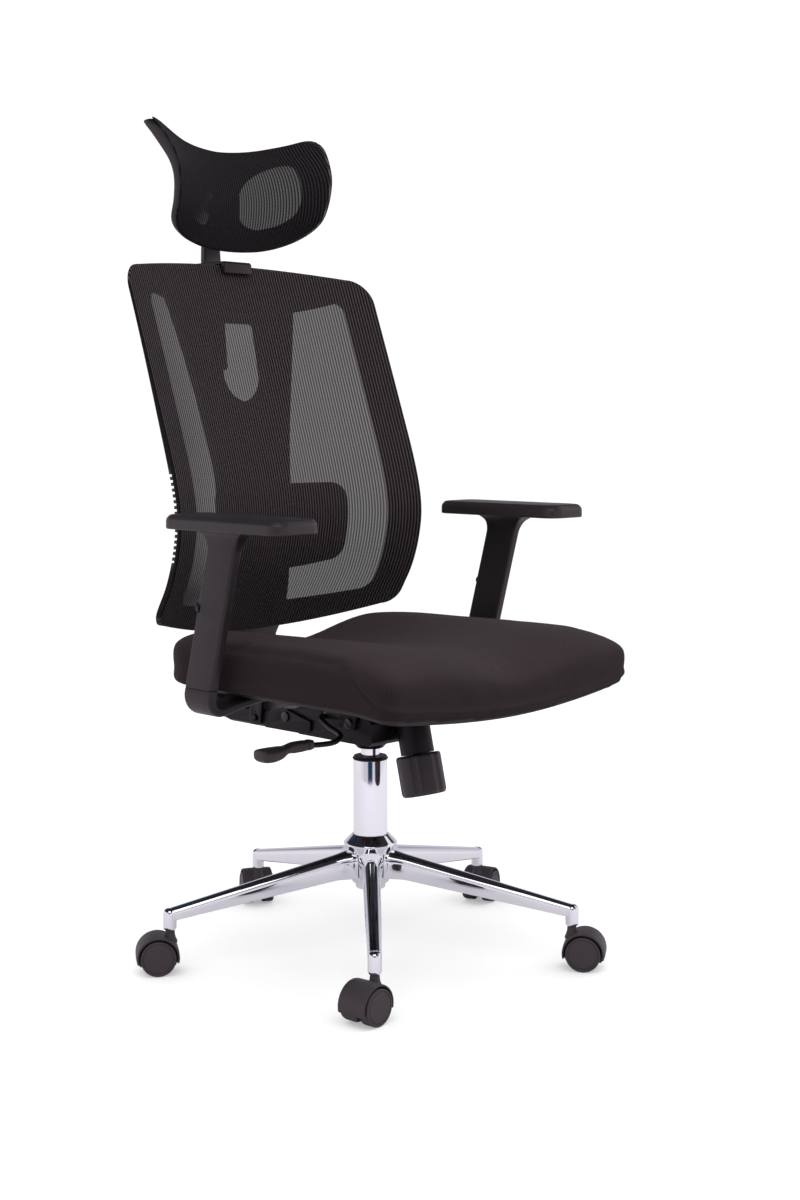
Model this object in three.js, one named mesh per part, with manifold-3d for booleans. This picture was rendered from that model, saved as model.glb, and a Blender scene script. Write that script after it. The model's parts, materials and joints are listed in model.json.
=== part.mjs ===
// Swivel office chair: a five-spoke castor base, a gas lift, a synchronous tilt mechanism, a moulded seat,
// height-adjustable armrests, a mesh backrest on a Y-shaped spine and an adjustable mesh headrest.
// Millimetres, +Z up, the sitter faces -Y and the sitter's right hand is at -X.
// The pieces are laid out round the gas lift's axis, and the whole chair is then centred over its footprint.
import * as THREE from "three";
import { mergeVertices } from "three/addons/utils/BufferGeometryUtils.js";
import Module from "manifold-3d";

const wasm = await Module();
wasm.setup();

// ---- clearances ----
const GAP = 0.3; // between pieces that rest on each other
const PLAY = 0.6; // round a piece that turns or slides in another

// ---- base ----
const SPOKES = 5;
const FIRST_SPOKE_DEG = -43.5; // turned from straight ahead (-Y) towards +X
const SPOKE_REACH = 300; // lift axis to castor stem axis
const SPOKE_ROOT_WIDTH = 28;
const SPOKE_ROOT_HEIGHT = 38;
const SPOKE_ROOT_TOP = 152;
const SPOKE_TIP_WIDTH = 18.6;
const SPOKE_TIP_HEIGHT = 18;
const HUB_HEIGHT = 69;
const HUB_FLANGE_RADIUS = 38.5;
const HUB_BODY_RADIUS = 32;
const SOCKET_HEIGHT = 31;

// ---- castors ----
const WHEEL_RADIUS = 25;
const WHEEL_WIDTH = 17;
const CASTOR_WEB = 15; // thickness of the hood's middle wall between the two wheels
const CASTOR_TRAIL = 18; // stem axis to wheel axis
const HOOD_RADIUS = 30.5;
const HOOD_WALL = 3.4;
const AXLE_RADIUS = 3.5;
const STEM_RADIUS = 5.4;
const STEM_PIN_RADIUS = 4;
const NECK_TOP = 60; // where the stem leaves the hood
const CASTOR_TURNS_DEG = [-41.7, 4.3, 10.5, -23.5, -8.5]; // each castor's turn away from its spoke

// ---- gas lift ----
const TUBE_RADIUS = 25;
const TUBE_FOOT_RADIUS = 21.5;
const TUBE_WALL = 2;
const TUBE_FLOOR = 4;
const TUBE_LENGTH = 191;
const CYLINDER_RADIUS = 14;
const CYLINDER_WALL = 2.7;
const CYLINDER_NOSE_RADIUS = 13.2;
const ROD_RADIUS = 4;
const LIFT_STROKE = 100;
const BUSH_LENGTH = 85;

// ---- tilt mechanism ----
const HOUSING_HALF_WIDTH = 58;
const HOUSING_FRONT = -62;
const HOUSING_REAR = 128;
const HOUSING_FLOOR = 318;
const HOUSING_FRONT_TOP = 366;
const HOUSING_REAR_TOP = 352;
const HOUSING_WALL = 3;
const CONE_TOP_RADIUS = 34;
const CONE_BOTTOM = 303;
const FRONT_PIN_Y = -21;
const FRONT_PIN_Z = 348;
const REAR_PIN_Y = 115;
const REAR_PIN_Z = 342;
const PIN_RADIUS = 5;
const PLATE_THICKNESS = 5;
const PLATE_HALF_WIDTH = 92;
const EAR_THICKNESS = 4;
const LEVER_Y = 37;
const LEVER_Z = 351;
const LEVER_RADIUS = 4;
const KNOB_RADIUS = 30.5;
const KNOB_HEIGHT = 58;
const KNOB_LEAN_DEG = 13.7;
const KNOB_Y = -110; // centre of the knob's lower face
const KNOB_BOTTOM = 249;
const SLEEVE_RADIUS = 24;
const SLEEVE_LENGTH = 46;
const SLEEVE_WALL = 3;

// ---- seat ----
const SEAT_HALF_WIDTH = 252;
const SEAT_FRONT = -297;
const SEAT_REAR = 200;
const SEAT_CENTRE_TOP = 446;
const SEAT_BOLSTER = 20; // how far the sides stand above the middle at the thighs' end
const SEAT_REAR_BOLSTER = 32; // and at the hips
const SEAT_THICKNESS = 35; // of the padding over the pan at the middle of the seat
const SEAT_SKIRT = 9; // how far the padding wraps down beside the pan
const SEAT_FRONT_DROP = 24; // how far the front edge rolls down
const SEAT_FRONT_RISE = 16; // how far the thighs' end stands above the rear
const SEAT_FRONT_BOW = 10; // how far the middle of the front edge stands before its corners
const SEAT_FRONT_CORNER = 30;
const SEAT_REAR_CORNER = 78;
const PAN_THICKNESS = 12;
const PAN_INSET = 24;

// ---- armrests ----
const ARM_SEAT_CLEARANCE = 20; // between the seat's side and the post
const ARM_WIDTH = 15;
const ARM_DEPTH = 57;
const ARM_LEAN_DEG = 14.8;
const ARM_SEAM_Z = 415;
const ARM_SEAM_Y = 41;
const ARM_FOOT_Z = 376;
const ARM_WALL = 3;
const ARM_POST_RISE = 150; // height of the fixed post inside the sleeve
const ARM_BUTTON_RADIUS = 4.5;
const ARM_BUTTON_Z = 527;
const PAD_BOTTOM = 632;
const PAD_THICKNESS = 20;
const PAD_WIDTH = 82;
const PAD_LENGTH = 238;
const PAD_FRONT = -151;
const PAD_INWARD = 8.5; // how far the pad's middle stands inside the post's
const PAD_CORNER = 22;

// ---- backrest ----
const BACK_HALF_WIDTH = 243;
const BACK_TOP = 1013;
const BACK_BOTTOM = 455;
const BACK_TOP_CROWN = 17; // rise of the top edge from its corners to its middle
const BACK_BOTTOM_SAG = 34; // drop of the bottom edge from its corners to its middle
const BACK_DISH = 54; // depth of the hollow across the back, at the lumbar height
const BACK_TOP_DISH = 48; // the same at the top
const RAIL_TOP_THICKNESS = 4; // of the side rails' outer edge near the top
const BACK_RAIL = 46; // width of the side rails
const BACK_TOP_RAIL = 76;
const BACK_BOTTOM_RAIL = 42;
const FRAME_THICKNESS = 13.3;
const MESH_THICKNESS = 2.4;
const SPINE_THICKNESS = 18;
const SPINE_FOOT = 418;
const SPINE_TOP = 1003;
const SPINE_SLOT_HALF = 42;
const SPINE_SLOT_BOTTOM = 805;
const SPINE_SLOT_TOP = 925;
const BAR_BOTTOM = 320;
const BAR_THICKNESS = 24;
const BAR_LEG_THICKNESS = 16;
const BAR_LEG_TOP = 505;
const LUMBAR_HALF_WIDTH = 130;
const LUMBAR_TOP = 681;
const LUMBAR_BOTTOM = 549;
const LUMBAR_THICKNESS = 13;
const LUMBAR_STANDOFF = 12; // from the front of the mesh to the pad

// ---- headrest ----
const HEAD_TOP = 1188; // at the middle of the top edge
const HEAD_HORN = 29; // rise of the top corners above the middle
const HEAD_BOTTOM = 1034;
const HEAD_RIM = 9; // width of the rim in front view
const HEAD_CENTRE_Y = 288;
const HEAD_FRAME_DEPTH = 22; // how far the rear frame stands behind the mesh at the middle
const HEAD_FRAME_THICKNESS = 7;
const HEAD_PIVOT_Y = 331;
const HEAD_PIVOT_SHARE = 0.3716; // height of the tilt pin as a share of the headrest's own height
const HEAD_PIN_RADIUS = 3;
const LUG_INNER = 15;
const LUG_THICKNESS = 6;
const POST_HALF_WIDTH = 17;
const POST_THICKNESS = 11.5;
const POST_FOOT_Y = 338;
const POST_FOOT_Z = 855;
const POST_LEAN_DEG = 4.9;
const BRACKET_HALF_WIDTH = 27;
const BRACKET_REAR = 366;

// ---- sizes worked out from the ones above ----
const HEAD_PIVOT_Z = HEAD_BOTTOM + HEAD_PIVOT_SHARE * (HEAD_TOP + HEAD_HORN - HEAD_BOTTOM);
const SOCKET_BOTTOM = NECK_TOP + GAP;
const SPOKE_TIP_TOP = SOCKET_BOTTOM + SOCKET_HEIGHT;
const HUB_TOP = SPOKE_ROOT_TOP + 20;
const HUB_BOTTOM = HUB_TOP - HUB_HEIGHT;
const TUBE_BOTTOM = HUB_BOTTOM - 8;
const TUBE_TOP = TUBE_BOTTOM + TUBE_LENGTH;
const CYLINDER_BOTTOM = TUBE_BOTTOM + TUBE_FLOOR + 14;
const CYLINDER_TOP = HOUSING_FLOOR + 20;
const PISTON_TOP = CYLINDER_BOTTOM + LIFT_STROKE + 25;
const BUTTON_TOP = CYLINDER_TOP + 8;
const SEAT_BOTTOM = SEAT_CENTRE_TOP - SEAT_THICKNESS;
const PAN_BOTTOM = SEAT_BOTTOM - GAP - PAN_THICKNESS;
const PLATE_TOP = PAN_BOTTOM - GAP;
const CASTOR_HALF_WIDTH = CASTOR_WEB / 2 + GAP + WHEEL_WIDTH;
const ARM_CENTRE_X = SEAT_HALF_WIDTH + ARM_SEAT_CLEARANCE + ARM_WIDTH / 2;
const PAD_CENTRE_X = ARM_CENTRE_X - PAD_INWARD;
const FRAME_OFFSET = MESH_THICKNESS + GAP;

const rad = THREE.MathUtils.degToRad;
const lerp = THREE.MathUtils.lerp;

// ---- geometry helpers ----

/** A manifold solid from a closed three.js geometry, turned right side out. */
function solid(geometry) {
  const bare = new THREE.BufferGeometry().setAttribute("position", geometry.getAttribute("position"));
  bare.setIndex(geometry.index);
  const merged = mergeVertices(bare, 1e-4);
  const faces = new Uint32Array(merged.index.array);
  const vertProperties = new Float32Array(merged.attributes.position.array);
  const made = new wasm.Manifold(new wasm.Mesh({ numProp: 3, vertProperties, triVerts: faces }));
  if (made.volume() > 0) return made;
  const turned = faces.slice();
  for (let i = 0; i < turned.length; i += 3) {
    turned[i + 1] = faces[i + 2];
    turned[i + 2] = faces[i + 1];
  }
  return new wasm.Manifold(new wasm.Mesh({ numProp: 3, vertProperties, triVerts: turned }));
}

/** The three.js geometry of a manifold solid. */
function geometryOf(made) {
  const mesh = made.getMesh();
  const geometry = new THREE.BufferGeometry();
  geometry.setAttribute("position", new THREE.BufferAttribute(new Float32Array(mesh.vertProperties), 3));
  geometry.setIndex(new THREE.BufferAttribute(new Uint32Array(mesh.triVerts), 1));
  geometry.computeVertexNormals();
  return geometry;
}

/** A solid of revolution about Z from [radius, height] pairs. */
function lathe(profile, segments = 24) {
  const points = profile.map(([r, z]) => new THREE.Vector2(r, z));
  return solid(new THREE.LatheGeometry(points, segments).rotateX(Math.PI / 2));
}

/** A ring of revolution: the profile is closed on itself. */
function ring(profile, segments = 24) {
  return lathe([...profile, profile[0]], segments);
}

/** A closed skin over rings of [x, y, z] points, capped at its ends or joined end to start. */
function skin(rings, looped = false) {
  const n = rings[0].length;
  const positions = rings.flat(2);
  const faces = [];
  const spans = looped ? rings.length : rings.length - 1;
  for (let r = 0; r < spans; r++) {
    const here = r * n;
    const next = ((r + 1) % rings.length) * n;
    for (let i = 0; i < n; i++) {
      const j = (i + 1) % n;
      faces.push(here + i, here + j, next + j, here + i, next + j, next + i);
    }
  }
  const cap = (start, outward) => {
    const centre = positions.length / 3;
    for (let axis = 0; axis < 3; axis++) {
      let sum = 0;
      for (let i = 0; i < n; i++) sum += positions[(start + i) * 3 + axis];
      positions.push(sum / n);
    }
    for (let i = 0; i < n; i++) {
      const j = (i + 1) % n;
      if (outward) faces.push(start + i, start + j, centre);
      else faces.push(start + j, start + i, centre);
    }
  };
  if (!looped) {
    cap(0, false);
    cap((rings.length - 1) * n, true);
  }
  const geometry = new THREE.BufferGeometry();
  geometry.setAttribute("position", new THREE.Float32BufferAttribute(positions, 3));
  geometry.setIndex(faces);
  return solid(geometry);
}

/** A box from its lowest to its highest corner. */
function block(low, high) {
  const size = high.map((v, i) => v - low[i]);
  const middle = high.map((v, i) => (v + low[i]) / 2);
  return solid(new THREE.BoxGeometry(...size).translate(...middle));
}

/** A cylinder between two points. */
function rod(from, to, radius, segments = 16) {
  const a = new THREE.Vector3(...from);
  const b = new THREE.Vector3(...to);
  const geometry = new THREE.CylinderGeometry(radius, radius, a.distanceTo(b), segments);
  const along = b.clone().sub(a).normalize();
  const turn = new THREE.Quaternion().setFromUnitVectors(new THREE.Vector3(0, 1, 0), along);
  geometry.applyQuaternion(turn);
  const middle = a.add(b).multiplyScalar(0.5);
  return solid(geometry.translate(middle.x, middle.y, middle.z));
}

/** A flat outline of [a, b] points pushed through a depth; place(a, b, depth) gives each corner in space. */
function prism(outline, from, to, place) {
  const n = outline.length;
  const flat = outline.map(([a, b]) => new THREE.Vector2(a, b));
  if (THREE.ShapeUtils.isClockWise(flat)) flat.reverse();
  const positions = [from, to].flatMap((depth) => flat.flatMap(({ x, y }) => place(x, y, depth)));
  const faces = [];
  for (let i = 0; i < n; i++) {
    const j = (i + 1) % n;
    faces.push(i, j, n + j, i, n + j, n + i);
  }
  for (const [i, j, k] of THREE.ShapeUtils.triangulateShape(flat, [])) {
    faces.push(k, j, i, n + i, n + j, n + k);
  }
  const geometry = new THREE.BufferGeometry();
  geometry.setAttribute("position", new THREE.Float32BufferAttribute(positions, 3));
  geometry.setIndex(faces);
  return solid(geometry);
}

const alongX = (y, z, x) => [x, y, z];
const alongY = (x, z, y) => [x, y, z];
const alongZ = (x, y, z) => [x, y, z];

/** The corners of a rectangle with its corners cut off. */
function chamfered(halfWidth, halfHeight, cut) {
  const w = halfWidth - cut;
  const h = halfHeight - cut;
  return [
    [-w, -halfHeight],
    [w, -halfHeight],
    [halfWidth, -h],
    [halfWidth, h],
    [w, halfHeight],
    [-w, halfHeight],
    [-halfWidth, h],
    [-halfWidth, -h],
  ];
}

/** A rounded rectangle outline about the origin. */
function rounded(halfWidth, halfHeight, radius, steps = 4) {
  const corners = [
    [1, 1, 0],
    [-1, 1, 90],
    [-1, -1, 180],
    [1, -1, 270],
  ];
  return corners.flatMap(([sx, sy, start]) =>
    Array.from({ length: steps + 1 }, (_, i) => {
      const angle = rad(start + (90 * i) / steps);
      const x = sx * (halfWidth - radius) + radius * Math.cos(angle);
      const y = sy * (halfHeight - radius) + radius * Math.sin(angle);
      return [x, y];
    }),
  );
}

/** A smooth curve through [position, value] knots: cubic Hermite spans with averaged slopes. */
function smooth(knots) {
  const slope = (i) => {
    const before = knots[Math.max(i - 1, 0)];
    const after = knots[Math.min(i + 1, knots.length - 1)];
    return (after[1] - before[1]) / (after[0] - before[0]);
  };
  return (at) => {
    let i = 0;
    while (i < knots.length - 2 && at > knots[i + 1][0]) i++;
    const [p0, v0] = knots[i];
    const [p1, v1] = knots[i + 1];
    const h = p1 - p0;
    const t = THREE.MathUtils.clamp((at - p0) / h, 0, 1);
    const rise = t * t * (3 - 2 * t);
    return v0 + (v1 - v0) * rise + h * t * (1 - t) * (slope(i) * (1 - t) - slope(i + 1) * t);
  };
}

/** Evenly spaced numbers from one value to another. */
function steps(from, to, count) {
  return Array.from({ length: count + 1 }, (_, i) => lerp(from, to, i / count));
}

/** An upright rounded outline as [x, z] points: bowed sides, arched top and bottom, round corners. */
function outline({ side, top, bottom, topRadius, bottomRadius, across, up, round }) {
  const right = [];
  const footZ = bottom(side(0)) + bottomRadius;
  const footX = side(footZ) - bottomRadius;
  const headZ = top(side(Infinity)) - topRadius;
  const headX = side(headZ) - topRadius;
  const footCentre = bottom(footX) + bottomRadius;
  const headCentre = top(headX) - topRadius;
  for (const x of steps(0, footX, across).slice(0, -1)) right.push([x, bottom(x)]);
  for (const a of steps(-90, 0, round).slice(0, -1)) {
    right.push([footX + bottomRadius * Math.cos(rad(a)), footCentre + bottomRadius * Math.sin(rad(a))]);
  }
  for (const z of steps(footCentre, headCentre, up).slice(0, -1)) right.push([side(z), z]);
  for (const a of steps(0, 90, round).slice(0, -1)) {
    right.push([headX + topRadius * Math.cos(rad(a)), headCentre + topRadius * Math.sin(rad(a))]);
  }
  for (const x of steps(headX, 0, across)) right.push([x, top(x)]);
  const left = right.slice(1, -1).reverse();
  return [...right, ...left.map(([x, z]) => [-x, z])];
}

/** A smaller copy of an outline about a centre. */
const shrink = (points, share, [cx, cz]) =>
  points.map(([x, z]) => [cx + (x - cx) * share, cz + (z - cz) * share]);

// ---- materials ----
const finish = (color, roughness, metalness) =>
  new THREE.MeshStandardMaterial({ color, roughness, metalness });
const CHROME = finish(0xdfe1e6, 0.08, 1);
const STEEL = finish(0x9a9ca0, 0.35, 1);
const BLACK_STEEL = finish(0x232224, 0.45, 0.6);
const BLACK_PLASTIC = finish(0x2d2b2d, 0.5, 0);
const CASTOR_PLASTIC = finish(0x3f3d40, 0.55, 0);
const SOFT_PLASTIC = finish(0x3a3739, 0.6, 0);
const FABRIC = finish(0x312e30, 0.9, 0);
const MESH_CLOTH = finish(0x3b3639, 0.85, 0);

const chair = new THREE.Group();

/** Puts a named piece into a group. */
function add(name, made, material, group = chair) {
  const mesh = new THREE.Mesh(geometryOf(made), material.clone());
  mesh.name = name;
  group.add(mesh);
  return mesh;
}

// ---- five-star base ----

/** Outer radius of the lift's stand tube at a height: a taper at its foot, straight above it. */
function tubeRadius(z) {
  const taper = THREE.MathUtils.clamp((z - TUBE_BOTTOM) / (HUB_TOP - TUBE_BOTTOM), 0, 1);
  return lerp(TUBE_FOOT_RADIUS, TUBE_RADIUS, taper);
}

/** One spoke along +X: arched sections that narrow from the hub to the socket. */
function spoke() {
  const section = (x) => {
    const t = (x - HUB_BODY_RADIUS) / (SPOKE_REACH - HUB_BODY_RADIUS);
    const half = lerp(SPOKE_ROOT_WIDTH, SPOKE_TIP_WIDTH, t) / 2;
    const top = lerp(SPOKE_ROOT_TOP, SPOKE_TIP_TOP, t);
    const bottom = top - lerp(SPOKE_ROOT_HEIGHT, SPOKE_TIP_HEIGHT, t);
    const spring = top - half * 0.9;
    const arch = steps(0, 180, 6).map((a) => [
      half * Math.cos(rad(a)),
      spring + (top - spring) * Math.sin(rad(a)),
    ]);
    return [...arch, [-half * 0.86, bottom], [half * 0.86, bottom]].map(([y, z]) => [x, y, z]);
  };
  return skin([HUB_BODY_RADIUS - 3, SPOKE_REACH * 0.55, SPOKE_REACH].map(section));
}

/** The castor socket at the end of a spoke, with a domed top. */
function socket() {
  const r = SPOKE_TIP_WIDTH / 2;
  const profile = [
    [0, SOCKET_BOTTOM],
    [r, SOCKET_BOTTOM],
    [r, SPOKE_TIP_TOP - r * 0.55],
    [r * 0.72, SPOKE_TIP_TOP - r * 0.16],
    [0, SPOKE_TIP_TOP],
  ];
  return lathe(profile, 16).translate([SPOKE_REACH, 0, 0]);
}

function starBase() {
  const bore = (z) => tubeRadius(z) + GAP;
  let base = ring(
    [
      [bore(HUB_BOTTOM), HUB_BOTTOM],
      [bore(HUB_BOTTOM) + 4, HUB_BOTTOM],
      [HUB_BODY_RADIUS - 2.5, HUB_BOTTOM + 9],
      [HUB_BODY_RADIUS, SPOKE_ROOT_TOP - 2],
      [HUB_FLANGE_RADIUS, HUB_TOP - 11],
      [HUB_FLANGE_RADIUS - 0.8, HUB_TOP - 8.5],
      [bore(HUB_TOP) + 1.6, HUB_TOP],
      [bore(HUB_TOP), HUB_TOP],
    ],
    32,
  );
  const holeRadius = STEM_RADIUS + PLAY;
  for (let i = 0; i < SPOKES; i++) {
    const turn = FIRST_SPOKE_DEG - 90 + (360 / SPOKES) * i;
    base = base.add(spoke().rotate([0, 0, turn])).add(socket().rotate([0, 0, turn]));
    const low = [SPOKE_REACH, 0, SOCKET_BOTTOM - 1];
    const hole = rod(low, [SPOKE_REACH, 0, SPOKE_TIP_TOP - 5], holeRadius, 12);
    base = base.subtract(hole.rotate([0, 0, turn]));
  }
  return base;
}

add("star_base", starBase(), CHROME);

// ---- castors: built with the stem axis at the origin and the wheels trailing towards +X ----

/** The stem: a shank in the base's socket and a thinner pin down into the hood. */
function castorStem() {
  return lathe(
    [
      [0, WHEEL_RADIUS],
      [STEM_PIN_RADIUS, WHEEL_RADIUS],
      [STEM_PIN_RADIUS, SOCKET_BOTTOM],
      [STEM_RADIUS, SOCKET_BOTTOM],
      [STEM_RADIUS, SPOKE_TIP_TOP - 8],
      [STEM_RADIUS - 1.5, SPOKE_TIP_TOP - 6],
      [0, SPOKE_TIP_TOP - 6],
    ],
    12,
  );
}

/** The hood: a half-round cover, the wall between the wheels, the neck round the stem and the axle. */
function castorHood() {
  const half = CASTOR_HALF_WIDTH - 2;
  const arc = (radius) =>
    steps(-14, 194, 13).map((a) => [
      CASTOR_TRAIL + radius * Math.cos(rad(a)),
      WHEEL_RADIUS + radius * Math.sin(rad(a)),
    ]);
  const shell = [...arc(HOOD_RADIUS), ...arc(HOOD_RADIUS - HOOD_WALL).reverse()];
  const cover = prism(shell, -half, half, alongY);
  const webRadius = HOOD_RADIUS - HOOD_WALL / 2;
  const web = steps(-30, 210, 10).map((a) => [
    CASTOR_TRAIL + webRadius * Math.cos(rad(a)),
    WHEEL_RADIUS + webRadius * Math.sin(rad(a)),
  ]);
  const neck = rod([0, 0, WHEEL_RADIUS + 20], [0, 0, NECK_TOP], STEM_PIN_RADIUS + 2.4, 14);
  const axleEnd = (y) => [CASTOR_TRAIL, y, WHEEL_RADIUS];
  const axle = rod(axleEnd(-half + 1), axleEnd(half - 1), AXLE_RADIUS, 14);
  const bore = rod([0, 0, WHEEL_RADIUS - 1.5], [0, 0, NECK_TOP + 1], STEM_PIN_RADIUS + GAP, 12);
  return cover
    .add(prism(web, -CASTOR_WEB / 2, CASTOR_WEB / 2, alongY))
    .add(neck)
    .add(axle)
    .subtract(bore);
}

/** A wheel on the +Y side of its castor: rounded tread and a shallow dish in its outer face. */
function castorWheel() {
  const inner = CASTOR_WEB / 2 + GAP;
  const outer = CASTOR_HALF_WIDTH;
  const bore = AXLE_RADIUS + GAP;
  const r = WHEEL_RADIUS;
  const profile = [
    [bore, inner],
    [r - 2, inner],
    [r, inner + 2],
    [r, outer - 3],
    [r - 1.4, outer - 0.8],
    [r - 3, outer],
    [r - 4.5, outer - 0.9],
    [0, outer - 0.4],
    [0, outer - 2.6],
    [bore, outer - 2.6],
  ];
  return ring(profile, 18).rotate([-90, 0, 0]).translate([CASTOR_TRAIL, 0, WHEEL_RADIUS]);
}

for (let i = 0; i < SPOKES; i++) {
  const spokeTurn = rad(FIRST_SPOKE_DEG - 90 + (360 / SPOKES) * i);
  const castor = new THREE.Group();
  castor.position.set(SPOKE_REACH * Math.cos(spokeTurn), SPOKE_REACH * Math.sin(spokeTurn), 0);
  castor.rotation.z = spokeTurn + rad(CASTOR_TURNS_DEG[i]);
  chair.add(castor);
  const number = i + 1;
  add(`castor_stem_${number}`, castorStem(), STEEL, castor);
  add(`castor_hood_${number}`, castorHood(), CASTOR_PLASTIC, castor);
  add(`wheel_left_${number}`, castorWheel(), CASTOR_PLASTIC, castor);
  const mirrored = castorWheel().translate([-CASTOR_TRAIL, 0, 0]).rotate([0, 0, 180]);
  add(`wheel_right_${number}`, mirrored.translate([CASTOR_TRAIL, 0, 0]), CASTOR_PLASTIC, castor);
}

// ---- gas lift ----

/** Inner radius of the stand tube at a height. */
const tubeBore = (z) => tubeRadius(z) - TUBE_WALL;

add(
  "outer_tube",
  ring(
    [
      [ROD_RADIUS + PLAY, TUBE_BOTTOM],
      [TUBE_FOOT_RADIUS, TUBE_BOTTOM],
      [TUBE_RADIUS, HUB_TOP],
      [TUBE_RADIUS, TUBE_TOP],
      [tubeBore(TUBE_TOP), TUBE_TOP],
      [tubeBore(HUB_TOP), HUB_TOP],
      [tubeBore(TUBE_BOTTOM + TUBE_FLOOR), TUBE_BOTTOM + TUBE_FLOOR],
      [ROD_RADIUS + PLAY, TUBE_BOTTOM + TUBE_FLOOR],
    ],
    32,
  ),
  CHROME,
);

const BUSH_COLLAR = 4.7;
add(
  "guide_bush",
  ring(
    [
      [CYLINDER_RADIUS + GAP, TUBE_TOP + GAP - BUSH_LENGTH],
      [TUBE_RADIUS - TUBE_WALL - GAP, TUBE_TOP + GAP - BUSH_LENGTH],
      [TUBE_RADIUS - TUBE_WALL - GAP, TUBE_TOP + GAP],
      [TUBE_RADIUS + 1, TUBE_TOP + GAP],
      [TUBE_RADIUS, TUBE_TOP + GAP + BUSH_COLLAR],
      [CYLINDER_RADIUS + GAP, TUBE_TOP + GAP + BUSH_COLLAR],
    ],
    32,
  ),
  BLACK_PLASTIC,
);

const CHAMBER_BOTTOM = CYLINDER_BOTTOM + 10;
const CHAMBER_TOP = PISTON_TOP + 3;
const CYLINDER_SHOULDER = HOUSING_FLOOR - 20; // where the mounting taper begins
const BUTTON_BORE = ROD_RADIUS + GAP;

/** Radius of the gas cylinder's nose, which tapers into the mechanism. */
function noseRadius(z) {
  const t = (z - CYLINDER_SHOULDER) / (CYLINDER_TOP - CYLINDER_SHOULDER);
  return lerp(CYLINDER_RADIUS, CYLINDER_NOSE_RADIUS, t);
}

const cylinderBody = lathe(
  [
    [0, CYLINDER_BOTTOM],
    [CYLINDER_RADIUS, CYLINDER_BOTTOM],
    [CYLINDER_RADIUS, CYLINDER_SHOULDER],
    [CYLINDER_NOSE_RADIUS, CYLINDER_TOP],
    [0, CYLINDER_TOP],
  ],
  28,
);
const chamberRadius = CYLINDER_RADIUS - CYLINDER_WALL;
const chamber = rod([0, 0, CHAMBER_BOTTOM], [0, 0, CHAMBER_TOP], chamberRadius, 20);
const gland = rod([0, 0, CYLINDER_BOTTOM - 1], [0, 0, CHAMBER_BOTTOM + 1], ROD_RADIUS + GAP, 14);
const buttonBore = rod([0, 0, CYLINDER_TOP - 20], [0, 0, CYLINDER_TOP + 1], BUTTON_BORE, 14);
add("gas_cylinder", cylinderBody.subtract(chamber).subtract(gland).subtract(buttonBore), CHROME);

const PISTON_HEAD = 12;
const CLIP_TOP = TUBE_BOTTOM - GAP;
const CLIP_THICKNESS = 2.5;
add(
  "piston_rod",
  lathe(
    [
      [0, CLIP_TOP - CLIP_THICKNESS - 4],
      [ROD_RADIUS, CLIP_TOP - CLIP_THICKNESS - 4],
      [ROD_RADIUS, PISTON_TOP - PISTON_HEAD],
      [chamberRadius - GAP, PISTON_TOP - PISTON_HEAD],
      [chamberRadius - GAP, PISTON_TOP],
      [0, PISTON_TOP],
    ],
    14,
  ),
  STEEL,
);
add(
  "thrust_bearing",
  ring(
    [
      [ROD_RADIUS + GAP, TUBE_BOTTOM + TUBE_FLOOR + GAP],
      [16, TUBE_BOTTOM + TUBE_FLOOR + GAP],
      [16, TUBE_BOTTOM + TUBE_FLOOR + 5.5],
      [ROD_RADIUS + GAP, TUBE_BOTTOM + TUBE_FLOOR + 5.5],
    ],
    20,
  ),
  STEEL,
);
const clipRing = ring(
  [
    [ROD_RADIUS + GAP, CLIP_TOP - CLIP_THICKNESS],
    [ROD_RADIUS * 2, CLIP_TOP - CLIP_THICKNESS],
    [ROD_RADIUS * 2, CLIP_TOP],
    [ROD_RADIUS + GAP, CLIP_TOP],
  ],
  16,
);
add("retaining_clip", clipRing.subtract(block([-3, -12, 0], [3, 0, TUBE_BOTTOM])), STEEL);
const releaseButton = rod([0, 0, CYLINDER_TOP - 13.5], [0, 0, BUTTON_TOP], ROD_RADIUS, 14);
add("release_button", releaseButton, BLACK_STEEL);

// ---- tilt mechanism ----

/** A rod across the chair at [y, z], reaching a half-length to each side. */
const crossRod = (y, z, half, radius) => rod([-half, y, z], [half, y, z], radius, 14);

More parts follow.
